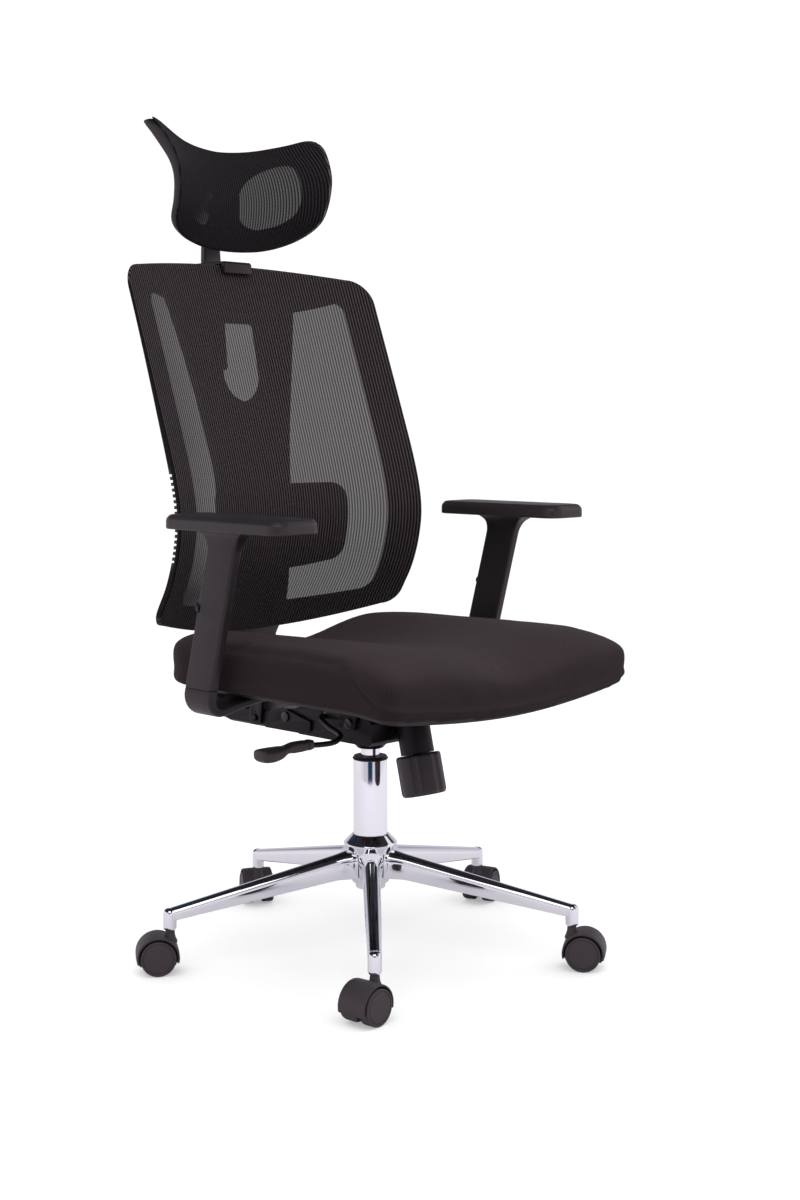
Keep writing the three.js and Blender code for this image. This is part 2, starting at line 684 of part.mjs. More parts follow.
/** The housing: an open tub with a socket for the gas cylinder, pin holes and the lever's slot. */
function mechanismHousing() {
  const w = HOUSING_HALF_WIDTH;
  const side = [
    [HOUSING_FRONT, HOUSING_FLOOR + 6],
    [HOUSING_FRONT + 6, HOUSING_FLOOR],
    [HOUSING_REAR - 38, HOUSING_FLOOR],
    [HOUSING_REAR, HOUSING_FLOOR + 14],
    [HOUSING_REAR, HOUSING_REAR_TOP],
    [FRONT_PIN_Y - 9, HOUSING_FRONT_TOP],
    [HOUSING_FRONT + 14, HOUSING_FRONT_TOP],
    [HOUSING_FRONT, HOUSING_FRONT_TOP - 16],
  ];
  let made = prism(side, -w, w, alongX);
  const inner = w - HOUSING_WALL;
  const front = HOUSING_FRONT + HOUSING_WALL;
  const floor = HOUSING_FLOOR + HOUSING_WALL;
  made = made.subtract(block([-inner, front, floor], [inner, HOUSING_REAR - 38, HOUSING_FRONT_TOP + 5]));
  made = made.subtract(block([-inner, HOUSING_REAR - 40, 0], [inner, HOUSING_REAR + 5, HOUSING_FRONT_TOP]));
  const socketRadius = CYLINDER_RADIUS + 5;
  made = made.add(
    lathe(
      [
        [0, CONE_BOTTOM],
        [socketRadius, CONE_BOTTOM],
        [CONE_TOP_RADIUS, HOUSING_FLOOR + 1],
        [socketRadius, HOUSING_FLOOR + 1.5],
        [socketRadius, CYLINDER_TOP + 1],
        [0, CYLINDER_TOP + 1],
      ],
      28,
    ),
  );
  const low = CONE_BOTTOM - 1;
  const high = CYLINDER_TOP + 2;
  const bore = lathe(
    [
      [0, low],
      [noseRadius(low) + GAP, low],
      [noseRadius(high) + GAP, high],
      [0, high],
    ],
    28,
  );
  const pinHole = (y, z) => crossRod(y, z, w + 5, PIN_RADIUS + GAP);
  const slotHalf = LEVER_RADIUS + PLAY;
  const slotLow = [-w - 5, LEVER_Y - slotHalf, LEVER_Z - slotHalf];
  const slot = block(slotLow, [-inner + 2, LEVER_Y + slotHalf, LEVER_Z + 11]);
  return made
    .subtract(bore)
    .subtract(pinHole(FRONT_PIN_Y, FRONT_PIN_Z))
    .subtract(pinHole(REAR_PIN_Y, REAR_PIN_Z))
    .subtract(slot);
}

add("mechanism_housing", mechanismHousing(), BLACK_STEEL);

const STUD_Y = 180; // where the back bar carries the rear of the seat
const STUD_Z = 333;
const STUD_RADIUS = 4;
const STUD_TRAVEL = 4.2; // how far the stud creeps along its slot over the full recline
const FLANGE_THICKNESS = 3.5;
const FLANGE_INNER = HOUSING_HALF_WIDTH + 2.5;
const REAR_FLANGE_INNER = HOUSING_HALF_WIDTH + 5.6;
const BAR_HALF_WIDTH = HOUSING_HALF_WIDTH + PLAY + EAR_THICKNESS;

/** The seat plate with two hanging flanges a side: the front ones pivot, the rear ones ride on the bar. */
function seatPlate() {
  const z = PLATE_TOP;
  const low = z - PLATE_THICKNESS;
  const flatOutline = rounded(PLATE_HALF_WIDTH, 153, 14, 2).map(([x, y]) => [x, y + 43]);
  let made = prism(flatOutline, low, z, alongZ);
  const frontFlange = [
    [FRONT_PIN_Y - 22, z - 1],
    [FRONT_PIN_Y + 30, z - 1],
    [FRONT_PIN_Y + 30, z - 14],
    [FRONT_PIN_Y + 10, FRONT_PIN_Z - 9],
    [FRONT_PIN_Y - 10, FRONT_PIN_Z - 9],
    [FRONT_PIN_Y - 22, z - 18],
  ];
  const rearFlange = [
    [STUD_Y - 22, z - 1],
    [STUD_Y + 12, z - 1],
    [STUD_Y + 11, STUD_Z - 7],
    [STUD_Y + 6, STUD_Z - 10],
    [STUD_Y - 9, STUD_Z - 10],
    [STUD_Y - 14, STUD_Z - 5],
  ];
  for (const s of [-1, 1]) {
    for (const [flange, x] of [
      [frontFlange, FLANGE_INNER],
      [rearFlange, REAR_FLANGE_INNER],
    ]) {
      made = made.add(prism(flange, s * x, s * (x + FLANGE_THICKNESS), alongX));
    }
  }
  const pinHole = crossRod(FRONT_PIN_Y, FRONT_PIN_Z, PLATE_HALF_WIDTH, PIN_RADIUS + GAP);
  const slotRadius = STUD_RADIUS + PLAY * 1.5;
  const slot = rounded(slotRadius + STUD_TRAVEL / 2, slotRadius, slotRadius - 0.2, 3).map(([y, h]) => [
    y + STUD_Y - STUD_TRAVEL / 2,
    h + STUD_Z,
  ]);
  return made.subtract(pinHole).subtract(prism(slot, -PLATE_HALF_WIDTH, PLATE_HALF_WIDTH, alongX));
}

add("seat_plate", seatPlate(), BLACK_STEEL);

const pinHead = 2;
const pin = (y, z, half) =>
  crossRod(y, z, half, PIN_RADIUS)
    .add(rod([half, y, z], [half + pinHead, y, z], PIN_RADIUS + 2.5, 12))
    .add(rod([-half - pinHead, y, z], [-half, y, z], PIN_RADIUS + 2.5, 12));
add("front_pin", pin(FRONT_PIN_Y, FRONT_PIN_Z, FLANGE_INNER + FLANGE_THICKNESS + GAP), STEEL);
add("main_pin", pin(REAR_PIN_Y, REAR_PIN_Z, BAR_HALF_WIDTH + GAP), STEEL);

// ---- spine and the bar that carries it ----

/** Front edge of the backrest's side, seen from the side. */
const backEdge = smooth([
  [440, 207],
  [507, 171],
  [545, 149],
  [590, 133.5],
  [639, 127.6],
  [697, 138],
  [791, 170],
  [BACK_TOP, 252],
]);

/** 0 at the lumbar height, 1 at the top of the backrest. */
const upper = (z) => THREE.MathUtils.smoothstep(z, 690, 960);

/** Front surface of the backrest: the side edge plus a hollow across the width. */
function backSurface(x, z) {
  return backEdge(z) + lerp(BACK_DISH, BACK_TOP_DISH, upper(z)) * (1 - (x / BACK_HALF_WIDTH) ** 2);
}

const frameBack = (z) => backSurface(0, z) + FRAME_OFFSET + FRAME_THICKNESS;

const spineBack = smooth([
  [SPINE_FOOT, 286],
  [446, 282],
  [518, 268],
  [600, 263],
  [675, 264],
  [749, 275],
  [852, 292],
  [935, 309],
  [SPINE_TOP, 328],
]);

/** Front of the spine: its own thickness, or just clear of the frame where the rails cross it. */
function spineFront(z) {
  const free = spineBack(z) - SPINE_THICKNESS;
  const railed = z < BACK_BOTTOM + BACK_BOTTOM_RAIL + 12 || z > BACK_TOP - BACK_TOP_RAIL - 8;
  return railed ? Math.max(free, frameBack(z) + GAP) : free;
}

const spineHalf = smooth([
  [SPINE_FOOT, 64],
  [518, 67],
  [675, 70],
  [749, 79],
  [852, 99],
  [SPINE_TOP, 134],
]);

const LUMBAR_SLOT_HALF = 12;
const LUMBAR_SLOT_DEPTH = 8;
const LUMBAR_STALK_LOW = 595;
const LUMBAR_STALK_HIGH = 655;
const LUMBAR_DOWN = 12; // travel below and above the position shown
const LUMBAR_UP = 20;

// Heights at which both the spine and the leg behind it are shaped.
const LEG_HEIGHTS = [SPINE_FOOT, 432, 446, 458, 470, 488, BAR_LEG_TOP];

function backSpine() {
  const section = (z) => {
    const half = spineHalf(z);
    const front = spineFront(z);
    const back = spineBack(z);
    const middle = (front + back) / 2;
    return chamfered(half, (back - front) / 2, 3.5).map(([x, y]) => [x, y + middle, z]);
  };
  const heights = [...LEG_HEIGHTS, 530, 565, 600, 640, 675, 710, 749, 800, 852, 900, 935, 960, 985];
  let made = skin([...heights, SPINE_TOP].map(section));
  const arc = steps(180, 360, 10).map((a) => [
    SPINE_SLOT_HALF * Math.cos(rad(a)),
    SPINE_SLOT_BOTTOM + SPINE_SLOT_HALF * (1 + Math.sin(rad(a))),
  ]);
  const hole = [...arc, [SPINE_SLOT_HALF, SPINE_SLOT_TOP], [-SPINE_SLOT_HALF, SPINE_SLOT_TOP]];
  made = made.subtract(prism(hole, 200, 400, alongY));
  const slotLow = LUMBAR_STALK_LOW - LUMBAR_DOWN - 1;
  const slotHigh = LUMBAR_STALK_HIGH + LUMBAR_UP + 1;
  const face = spineBack(600) - SPINE_THICKNESS;
  const slotHighCorner = [LUMBAR_SLOT_HALF, face + LUMBAR_SLOT_DEPTH, slotHigh];
  return made.subtract(block([-LUMBAR_SLOT_HALF, 200, slotLow], slotHighCorner));
}

/** The bar: ears beside the housing, a box behind it and a leg that rises behind the spine. */
function backBar() {
  const top = BAR_BOTTOM + BAR_THICKNESS + 2;
  const middle = BAR_BOTTOM + BAR_THICKNESS / 2 + 1;
  const ear = [
    [62, BAR_BOTTOM + 6],
    [72, BAR_BOTTOM + 0.5],
    [146, BAR_BOTTOM],
    [160, BAR_BOTTOM],
    [160, top],
    [146, top],
    [132, REAR_PIN_Z + 10],
    [122, REAR_PIN_Z + 12],
    [104, REAR_PIN_Z + 8],
    [62, REAR_PIN_Z - 2],
  ];
  let made;
  for (const s of [-1, 1]) {
    const piece = prism(ear, s * (HOUSING_HALF_WIDTH + PLAY), s * BAR_HALF_WIDTH, alongX);
    made = made ? made.add(piece) : piece;
  }
  const studHalf = REAR_FLANGE_INNER + FLANGE_THICKNESS + 1;
  made = made.add(crossRod(STUD_Y, STUD_Z, studHalf, STUD_RADIUS));
  const bendRadius = 52;
  const legY = (z) => spineBack(z) + GAP + BAR_LEG_THICKNESS / 2;
  const bendZ = middle + bendRadius;
  const bendY = legY(bendZ) - bendRadius;
  const stations = [[142, middle, 0, BAR_THICKNESS + 2, BAR_HALF_WIDTH]];
  stations.push([165, middle, 0, BAR_THICKNESS + 2, BAR_HALF_WIDTH]);
  for (const a of steps(0, 90, 5)) {
    const t = a / 90;
    stations.push([
      bendY + bendRadius * Math.sin(rad(a)),
      bendZ - bendRadius * Math.cos(rad(a)),
      a,
      lerp(BAR_THICKNESS + 2, BAR_LEG_THICKNESS, t),
      BAR_HALF_WIDTH,
    ]);
  }
  for (const z of LEG_HEIGHTS) {
    const tip = z === BAR_LEG_TOP;
    stations.push([legY(z), z, 90, BAR_LEG_THICKNESS - (tip ? 5 : 0), BAR_HALF_WIDTH - (tip ? 10 : 3)]);
  }
  const section = ([y, z, turn, thickness, half]) =>
    chamfered(half, thickness / 2, 3).map(([x, v]) => [
      x,
      y - v * Math.sin(rad(turn)),
      z + v * Math.cos(rad(turn)),
    ]);
  const pinHole = crossRod(REAR_PIN_Y, REAR_PIN_Z, PLATE_HALF_WIDTH, PIN_RADIUS + GAP);
  return made.add(skin(stations.map(section))).subtract(pinHole);
}

add("back_bar", backBar(), BLACK_STEEL);
add("back_spine", backSpine(), BLACK_PLASTIC);

// ---- tension knob, its sleeve and spring: laid out along their own leaning axis ----

/** Moves a solid built up its own Z axis onto the knob's axis, whose origin is the knob's lower face. */
const onKnobAxis = (made) => made.rotate([-KNOB_LEAN_DEG, 0, 0]).translate([0, KNOB_Y, KNOB_BOTTOM]);

const BOLT_RADIUS = 5;
const SLEEVE_BASE = KNOB_HEIGHT + 1;
const SLEEVE_TOP = SLEEVE_BASE + SLEEVE_LENGTH;
const SPRING_WIRE = 1.8;
const SPRING_RADIUS = 16;
const SPRING_COILS = 4;

function tensionKnob() {
  const grips = [];
  for (let i = 0; i < 6; i++) {
    for (const a of [-13, 0, 13]) {
      const angle = rad(60 * i + a);
      grips.push([Math.cos(angle), Math.sin(angle)]);
    }
  }
  const ringAt = (radius, z) => grips.map(([x, y]) => [x * radius, y * radius, z]);
  const edge = KNOB_RADIUS - 3;
  return skin([
    ringAt(edge, 0),
    ringAt(KNOB_RADIUS, 2.5),
    ringAt(KNOB_RADIUS, KNOB_HEIGHT - 3.5),
    ringAt(edge - 0.5, KNOB_HEIGHT),
  ]).add(rod([0, 0, KNOB_HEIGHT - 1], [0, 0, SLEEVE_TOP + 3], BOLT_RADIUS, 14));
}

function tensionSleeve() {
  const wall = ring(
    [
      [SLEEVE_RADIUS - SLEEVE_WALL, SLEEVE_BASE],
      [SLEEVE_RADIUS, SLEEVE_BASE],
      [SLEEVE_RADIUS, SLEEVE_TOP],
      [BOLT_RADIUS + PLAY, SLEEVE_TOP],
      [BOLT_RADIUS + PLAY, SLEEVE_TOP - SLEEVE_WALL],
      [SLEEVE_RADIUS - SLEEVE_WALL, SLEEVE_TOP - SLEEVE_WALL],
    ],
    28,
  );
  const behind = block([-60, HOUSING_FRONT - GAP, 200], [60, 0, 400]);
  const web = block([-9, -96, HOUSING_FLOOR + 8], [9, HOUSING_FRONT - GAP, HOUSING_FRONT_TOP - 20]);
  const hollow = rod([0, 0, 0], [0, 0, SLEEVE_TOP - SLEEVE_WALL - 1], SLEEVE_RADIUS - SLEEVE_WALL / 2, 28);
  return onKnobAxis(wall).subtract(behind).add(web.subtract(onKnobAxis(hollow)));
}

function tensionSpring() {
  const turns = SPRING_COILS * 10;
  const rise = SLEEVE_LENGTH - SLEEVE_WALL - 2 * SPRING_WIRE - 2 * GAP;
  const points = steps(0, 1, turns).map((t) => {
    const angle = t * SPRING_COILS * 2 * Math.PI;
    const z = SLEEVE_BASE + SPRING_WIRE + GAP + rise * t;
    return new THREE.Vector3(SPRING_RADIUS * Math.cos(angle), SPRING_RADIUS * Math.sin(angle), z);
  });
  const wire = new THREE.Shape().absarc(0, 0, SPRING_WIRE, 0, 2 * Math.PI);
  const extrudePath = new THREE.CatmullRomCurve3(points);
  const options = { steps: turns, curveSegments: 3, bevelEnabled: false, extrudePath };
  return solid(new THREE.ExtrudeGeometry(wire, options));
}

add("tension_knob", onKnobAxis(tensionKnob()), BLACK_PLASTIC);
add("tension_sleeve", tensionSleeve(), BLACK_STEEL);
add("tension_spring", onKnobAxis(tensionSpring()), STEEL);

// ---- height and tilt lever ----

const YOKE_RADIUS = 8;
const YOKE_INNER_X = -10;
const YOKE_OUTER_X = -34;
const PADDLE_ROOT_X = -152;
const PADDLE_TIP_X = -248;
const PADDLE_Y = -40;
const PADDLE_Z = 332;

function leverYoke() {
  const tongueLow = BUTTON_TOP + GAP + 0.2;
  const sleeve = rod([YOKE_OUTER_X, LEVER_Y, LEVER_Z], [YOKE_INNER_X, LEVER_Y, LEVER_Z], YOKE_RADIUS, 16);
  const tongue = block([YOKE_INNER_X - 8, -6, tongueLow], [6, LEVER_Y - 3, tongueLow + 5]);
  const bore = rod([-60, LEVER_Y, LEVER_Z], [0, LEVER_Y, LEVER_Z], LEVER_RADIUS + GAP, 14);
  return sleeve.add(tongue).subtract(bore);
}

function leverRod() {
  const path = [
    [YOKE_INNER_X - 2, LEVER_Y, LEVER_Z],
    [-40, LEVER_Y, LEVER_Z],
    [-66, LEVER_Y - 1, LEVER_Z - 1],
    [-79, LEVER_Y - 32, LEVER_Z - 8],
    [-92, LEVER_Y - 71, LEVER_Z - 15],
    [-112, PADDLE_Y - 1, PADDLE_Z - 2],
    [PADDLE_ROOT_X - 10, PADDLE_Y, PADDLE_Z],
  ].map((p) => new THREE.Vector3(...p));
  const section = new THREE.Shape().absarc(0, 0, LEVER_RADIUS - 0.1, 0, 2 * Math.PI);
  const extrudePath = new THREE.CatmullRomCurve3(path, false, "catmullrom", 0.3);
  const options = { steps: 26, curveSegments: 5, bevelEnabled: false, extrudePath };
  return solid(new THREE.ExtrudeGeometry(section, options));
}

function leverPaddle() {
  const stations = [
    [0, 5.5, 5.5, 0],
    [0.03, 7, 7, 0],
    [0.36, 8, 7.4, 0],
    [0.5, 8.5, 6, 1.5],
    [0.64, 12.4, 8.4, 3.5],
    [0.8, 14.8, 9.6, 4.5],
    [0.95, 13.5, 8, 3.5],
    [1, 7, 3.5, 1],
  ];
  const section = ([t, halfY, halfZ, sag]) =>
    steps(0, 330, 11).map((a) => [
      lerp(PADDLE_ROOT_X, PADDLE_TIP_X, t),
      PADDLE_Y + halfY * Math.cos(rad(a)),
      PADDLE_Z + 1 - sag + halfZ * Math.sin(rad(a)),
    ]);
  const boreAt = (x) => [x, PADDLE_Y, PADDLE_Z];
  const bore = rod(boreAt(PADDLE_ROOT_X + 2), boreAt(PADDLE_ROOT_X - 12), 4.5, 12);
  return skin(stations.map(section)).subtract(bore);
}

add("lever_yoke", leverYoke(), STEEL);
add("lever_rod", leverRod(), STEEL);
add("lever_paddle", leverPaddle(), BLACK_PLASTIC);

// ---- seat ----

const SEAT_CROWN_POWER = 5; // squareness of the cushion's upper edge
const SEAT_FLOOR_POWER = 8; // and of its underside
const SEAT_RIM_HEIGHT = 0.38; // height of its widest line, as a share of its thickness
const SEAT_CENTRE_Y = (SEAT_FRONT + SEAT_REAR) / 2;
const smoothstep = THREE.MathUtils.smoothstep;

const seatPlan = outline({
  side: () => SEAT_HALF_WIDTH,
  top: () => SEAT_REAR,
  bottom: (x) => SEAT_FRONT + SEAT_FRONT_BOW * (x / SEAT_HALF_WIDTH) ** 2,
  topRadius: SEAT_REAR_CORNER,
  bottomRadius: SEAT_FRONT_CORNER,
  across: 3,
  up: 5,
  round: 4,
});

/** Top and bottom of the cushion before its edges are rounded over. */
function seatTop(x, y) {
  const thighs = smoothstep(-y, -120, 160);
  const sides = smoothstep(Math.abs(x), 0, SEAT_HALF_WIDTH * 0.7);
  const bolster = lerp(SEAT_REAR_BOLSTER, SEAT_BOLSTER, thighs) * sides;
  const roll = SEAT_FRONT_DROP * 0.6 * smoothstep(-y, -SEAT_FRONT - 95, -SEAT_FRONT);
  return SEAT_CENTRE_TOP + SEAT_FRONT_RISE * thighs + bolster - roll;
}
function seatBottom(x, y) {
  const middle = 1 - 0.8 * (x / SEAT_HALF_WIDTH) ** 2;
  return SEAT_BOTTOM - SEAT_FRONT_DROP * middle * smoothstep(-y, -SEAT_FRONT - 120, -SEAT_FRONT);
}

/** One loop of the cushion's skin at a share of its plan, on its upper (1) or lower (-1) side. */
function seatLoop(share, side, lift = 0) {
  const power = side > 0 ? SEAT_CROWN_POWER : SEAT_FLOOR_POWER;
  const reach = (1 - share ** power) ** (1 / power);
  return shrink(seatPlan, share, [0, SEAT_CENTRE_Y]).map(([x, y]) => {
    const rim = lerp(seatBottom(x, y), seatTop(x, y), SEAT_RIM_HEIGHT);
    const limit = side > 0 ? seatTop(x, y) : seatBottom(x, y);
    return [x, y, lerp(rim, limit, reach) + lift];
  });
}

const PAN_EDGE = 1 - PAN_INSET / SEAT_HALF_WIDTH;
const panShares = [0.1, 0.5, 0.78, PAN_EDGE];
const cushionLoops = [
  ...panShares.map((share) => seatLoop(share, -1)),
  seatLoop(PAN_EDGE + 0.012, -1, -SEAT_SKIRT + 2),
  seatLoop(PAN_EDGE + 0.03, -1, -SEAT_SKIRT),
  seatLoop(0.965, -1, -SEAT_SKIRT + 1),
  seatLoop(0.99, -1, -SEAT_SKIRT / 2),
  seatLoop(1, 1),
  ...[0.985, 0.93, 0.82, 0.6, 0.32, 0.08].map((share) => seatLoop(share, 1)),
];
add("seat_cushion", skin(cushionLoops), FABRIC);
const panLoops = [
  ...panShares.map((share) => seatLoop(share, -1, -GAP)),
  ...panShares.toReversed().map((share) => seatLoop(share, -1, -GAP - PAN_THICKNESS)),
];
add("seat_pan", skin(panLoops), BLACK_PLASTIC);

// ---- armrests: built on the sitter's left (+X) and mirrored ----

const armLean = Math.tan(rad(ARM_LEAN_DEG));
/** Centre of the post at a height. */
const armY = (z) => ARM_SEAM_Y - armLean * (z - ARM_SEAM_Z);
const ARM_POST_TOP = ARM_SEAM_Z + ARM_POST_RISE;
const CAVITY_HALF_X = ARM_WIDTH / 2 - ARM_WALL;
const CAVITY_HALF_Y = ARM_DEPTH / 2 - ARM_WALL;

/** A level section of the leaning post. */
function armSection(halfX, halfY, cut, z, y = armY(z), x = ARM_CENTRE_X) {
  return chamfered(halfX, halfY, cut).map(([a, b]) => [x + a, y + b, z]);
}

/** The bracket: a flat foot under the seat pan, an elbow and a post inside the sleeve. */
function armBracket() {
  const footThickness = 11;
  const footTop = PAN_BOTTOM - GAP;
  const footMiddle = footTop - footThickness / 2;
  const bend = 26;
  const stations = [
    [118, footMiddle, 0, footThickness, 20],
    [190, footMiddle, 0, footThickness, 22],
    [ARM_CENTRE_X - bend, ARM_FOOT_Z + footThickness / 2, 0, footThickness + 2, 24],
  ];
  for (const a of steps(20, 80, 3)) {
    stations.push([
      ARM_CENTRE_X - bend + bend * Math.sin(rad(a)),
      ARM_FOOT_Z + footThickness / 2 + bend * (1 - Math.cos(rad(a))),
      a,
      lerp(footThickness, ARM_WIDTH, a / 90),
      lerp(24, ARM_DEPTH / 2, a / 90),
    ]);
  }
  stations.push([ARM_CENTRE_X, ARM_SEAM_Z, 90, ARM_WIDTH, ARM_DEPTH / 2]);
  const section = ([x, z, turn, thickness, half]) =>
    chamfered(half, thickness / 2, 3).map(([b, v]) => [
      x - v * Math.sin(rad(turn)),
      armY(z) + b,
      z + v * Math.cos(rad(turn)),
    ]);
  const post = skin(
    [ARM_SEAM_Z - 6, ARM_POST_TOP].map((z) => armSection(CAVITY_HALF_X - PLAY, CAVITY_HALF_Y - PLAY, 1.5, z)),
  );
  const grooveDepth = 4;
  const groove = skin(
    [ARM_BUTTON_Z - 12, ARM_POST_TOP + 5].map((z) =>
      armSection(ARM_BUTTON_RADIUS + 1.5, grooveDepth, 0.5, z, armY(z) + CAVITY_HALF_Y),
    ),
  );
  return skin(stations.map(section)).add(post.subtract(groove));
}

/** The sleeve: a hollow leaning post that flares into a saddle under the pad. */
function armSleeve() {
  const low = ARM_SEAM_Z + GAP;
  const x = ARM_WIDTH / 2;
  const y = ARM_DEPTH / 2;
  let made = skin([
    armSection(x, y, 3, low),
    armSection(x, y, 3, PAD_BOTTOM - 32),
    armSection(x, y + 2, 3, PAD_BOTTOM - 19),
    armSection(x + 1, y + 6, 4, PAD_BOTTOM - 11),
    armSection(x + 4, y + 13, 5, PAD_BOTTOM - 5),
    armSection(x + 7, y + 21, 6, PAD_BOTTOM - 2),
    armSection(x + 7, y + 22, 6, PAD_BOTTOM - GAP),
  ]);
  made = made.subtract(
    skin([ARM_SEAM_Z - 20, PAD_BOTTOM - 18].map((z) => armSection(CAVITY_HALF_X, CAVITY_HALF_Y, 1, z))),
  );
  return made.subtract(armButtonRod(ARM_BUTTON_RADIUS + GAP, 8));
}

/** A rod through the sleeve's rear wall, square to the lean: the button or its hole. */
function armButtonRod(radius, inside, outside = 12) {
  const rear = armY(ARM_BUTTON_Z) + ARM_DEPTH / 2;
  const c = Math.cos(rad(ARM_LEAN_DEG));
  const s = Math.sin(rad(ARM_LEAN_DEG));
  const at = (d) => [ARM_CENTRE_X, rear + d * c, ARM_BUTTON_Z + d * s];
  return rod(at(-inside), at(outside), radius, 14);
}

/** The pad: a long rounded slab with softened edges. */
function armPad() {
  const middleY = PAD_FRONT + PAD_LENGTH / 2;
  const loop = (inset, z) =>
    rounded(PAD_WIDTH / 2 - inset, PAD_LENGTH / 2 - inset, PAD_CORNER - inset, 4).map(([x, y]) => [
      PAD_CENTRE_X + x,
      middleY + y,
      z,
    ]);
  const top = PAD_BOTTOM + PAD_THICKNESS;
  return skin([
    loop(7, PAD_BOTTOM),
    loop(0, PAD_BOTTOM + 4),
    loop(0.5, top - 7),
    loop(3, top - 2),
    loop(8, top),
  ]);
}

const BUTTON_PROUD = 2.5;
for (const [name, side] of [
  ["right", -1],
  ["left", 1],
]) {
  const place = (made) => (side < 0 ? made.mirror([1, 0, 0]) : made);
  add(`arm_bracket_${name}`, place(armBracket()), SOFT_PLASTIC);
  add(`arm_sleeve_${name}`, place(armSleeve()), SOFT_PLASTIC);
  const button = armButtonRod(ARM_BUTTON_RADIUS, ARM_WALL - GAP, BUTTON_PROUD);
  add(`arm_button_${name}`, place(button), BLACK_PLASTIC);
  add(`arm_pad_${name}`, place(armPad()), SOFT_PLASTIC);
}

// ---- backrest: a moulded ring behind a taut mesh sheet ----

const OUTLINE_STEPS = { across: 4, up: 12, round: 3 };
const backOutline = outline({
  ...OUTLINE_STEPS,
  side: () => BACK_HALF_WIDTH,
  top: (x) => BACK_TOP - BACK_TOP_CROWN * (x / BACK_HALF_WIDTH) ** 2,
  bottom: (x) => BACK_BOTTOM + BACK_BOTTOM_SAG * (x / BACK_HALF_WIDTH) ** 2,
  topRadius: 38,
  bottomRadius: 24,
});
const openingTop = BACK_TOP - BACK_TOP_RAIL;
const openingBottom = BACK_BOTTOM + BACK_BOTTOM_RAIL;
const openingHalf = BACK_HALF_WIDTH - BACK_RAIL;
const backOpening = outline({
  ...OUTLINE_STEPS,
  side: () => openingHalf,
  top: (x) => openingTop + 30 * (x / openingHalf) ** 2,
  bottom: (x) => openingBottom + 14 * (x / openingHalf) ** 2,
  topRadius: 17,
  bottomRadius: 20,
});

/** A loop of points on a surface, pushed back by a depth. */
const onSurface = (points, surface, depth) => points.map(([x, z]) => [x, surface(x, z) + depth, z]);

/** A thin sheet over a surface, filling an outline by way of an inner loop and smaller copies of it. */
function sheet(outer, inner, surface, thickness, centre) {
  const loops = [outer, inner, ...[0.72, 0.4, 0.1].map((share) => shrink(inner, share, centre))];
  const front = loops.map((points) => onSurface(points, surface, 0));
  const back = loops.map((points) => onSurface(points, surface, thickness));
  return skin([...back.toReversed(), ...front]);
}

/** The moulded ring behind the mesh; its side rails thin out towards the top of their outer edge. */
function backFrame() {
  return skin(
    backOutline.map(([x, z], i) => {
      const [innerX, innerZ] = backOpening[i];
      const side = smoothstep(Math.abs(x), BACK_HALF_WIDTH * 0.7, BACK_HALF_WIDTH);
      const edge = lerp(FRAME_THICKNESS, RAIL_TOP_THICKNESS, upper(z) * side);
      return [
        [innerX, backSurface(innerX, innerZ) + FRAME_OFFSET, innerZ],
        [x, backSurface(x, z) + FRAME_OFFSET, z],
        [x, backSurface(x, z) + FRAME_OFFSET + edge, z],
        [innerX, backSurface(innerX, innerZ) + FRAME_OFFSET + FRAME_THICKNESS, innerZ],
      ];
    }),
    true,
  );
}

const backCentre = [0, (BACK_TOP + BACK_BOTTOM) / 2];
add("back_frame", backFrame(), BLACK_PLASTIC);
add("back_mesh", sheet(backOutline, backOpening, backSurface, MESH_THICKNESS, backCentre), MESH_CLOTH);

/** The lumbar pad: a dished slab behind the mesh with a stalk that slides in the spine. */
function lumbarPad() {
  const edge = outline({
    side: () => LUMBAR_HALF_WIDTH,
    top: () => LUMBAR_TOP,
    bottom: (x) => LUMBAR_BOTTOM + 15 * (x / LUMBAR_HALF_WIDTH) ** 2,
    topRadius: 25,
    bottomRadius: 25,
    across: 4,
    up: 4,
    round: 3,
  });
  const centre = [0, (LUMBAR_TOP + LUMBAR_BOTTOM) / 2];
  const shell = (x, z) => backSurface(x, z) + LUMBAR_STANDOFF;
  const loops = [1, 0.6, 0.1].map((share) => shrink(edge, share, centre));
  const front = loops.map((points) => onSurface(points, shell, 0));
  const back = loops.map((points) => onSurface(points, shell, LUMBAR_THICKNESS));
  const pad = skin([...back.toReversed(), ...front]);
  const stalkFront = backSurface(0, 640) + LUMBAR_STANDOFF + LUMBAR_THICKNESS / 2;
  const stalkRear = spineBack(600) - SPINE_THICKNESS + LUMBAR_SLOT_DEPTH - PLAY;
  const half = LUMBAR_SLOT_HALF - PLAY;
  return pad.add(block([-half, stalkFront, LUMBAR_STALK_LOW], [half, stalkRear, LUMBAR_STALK_HIGH]));
}

add("lumbar_pad", lumbarPad(), SOFT_PLASTIC);

// ---- headrest ----

/** A height on the headrest as a share of its own height, and back again. */
const headHeight = HEAD_TOP + HEAD_HORN - HEAD_BOTTOM;
const headShare = (z) => (z - HEAD_BOTTOM) / headHeight;
const headZ = (share) => HEAD_BOTTOM + share * headHeight;

/** Setback of the middle line, and reach forward of the side edges, by share of the height. */
const headSetback = smooth([
  [0, 16],
  [0.14, 6],
  [0.28, 0],
  [0.42, -1],
  [0.53, 3],
  [0.64, 11],
  [0.75, 25],
  [0.85, 45],
  [0.9, 50],
  [1, 46],
]);
const headWing = smooth([
  [0, 8],
  [0.09, 13],
  [0.2, 32],
  [0.28, 45],
  [0.36, 52.5],
  [0.5, 57],
  [0.64, 54],
  [0.75, 43],
  [0.86, 26],
  [0.97, 5],
  [1, -1],
]);
const HEAD_REACH = 155; // half-width at which the surface reaches the side edge curve

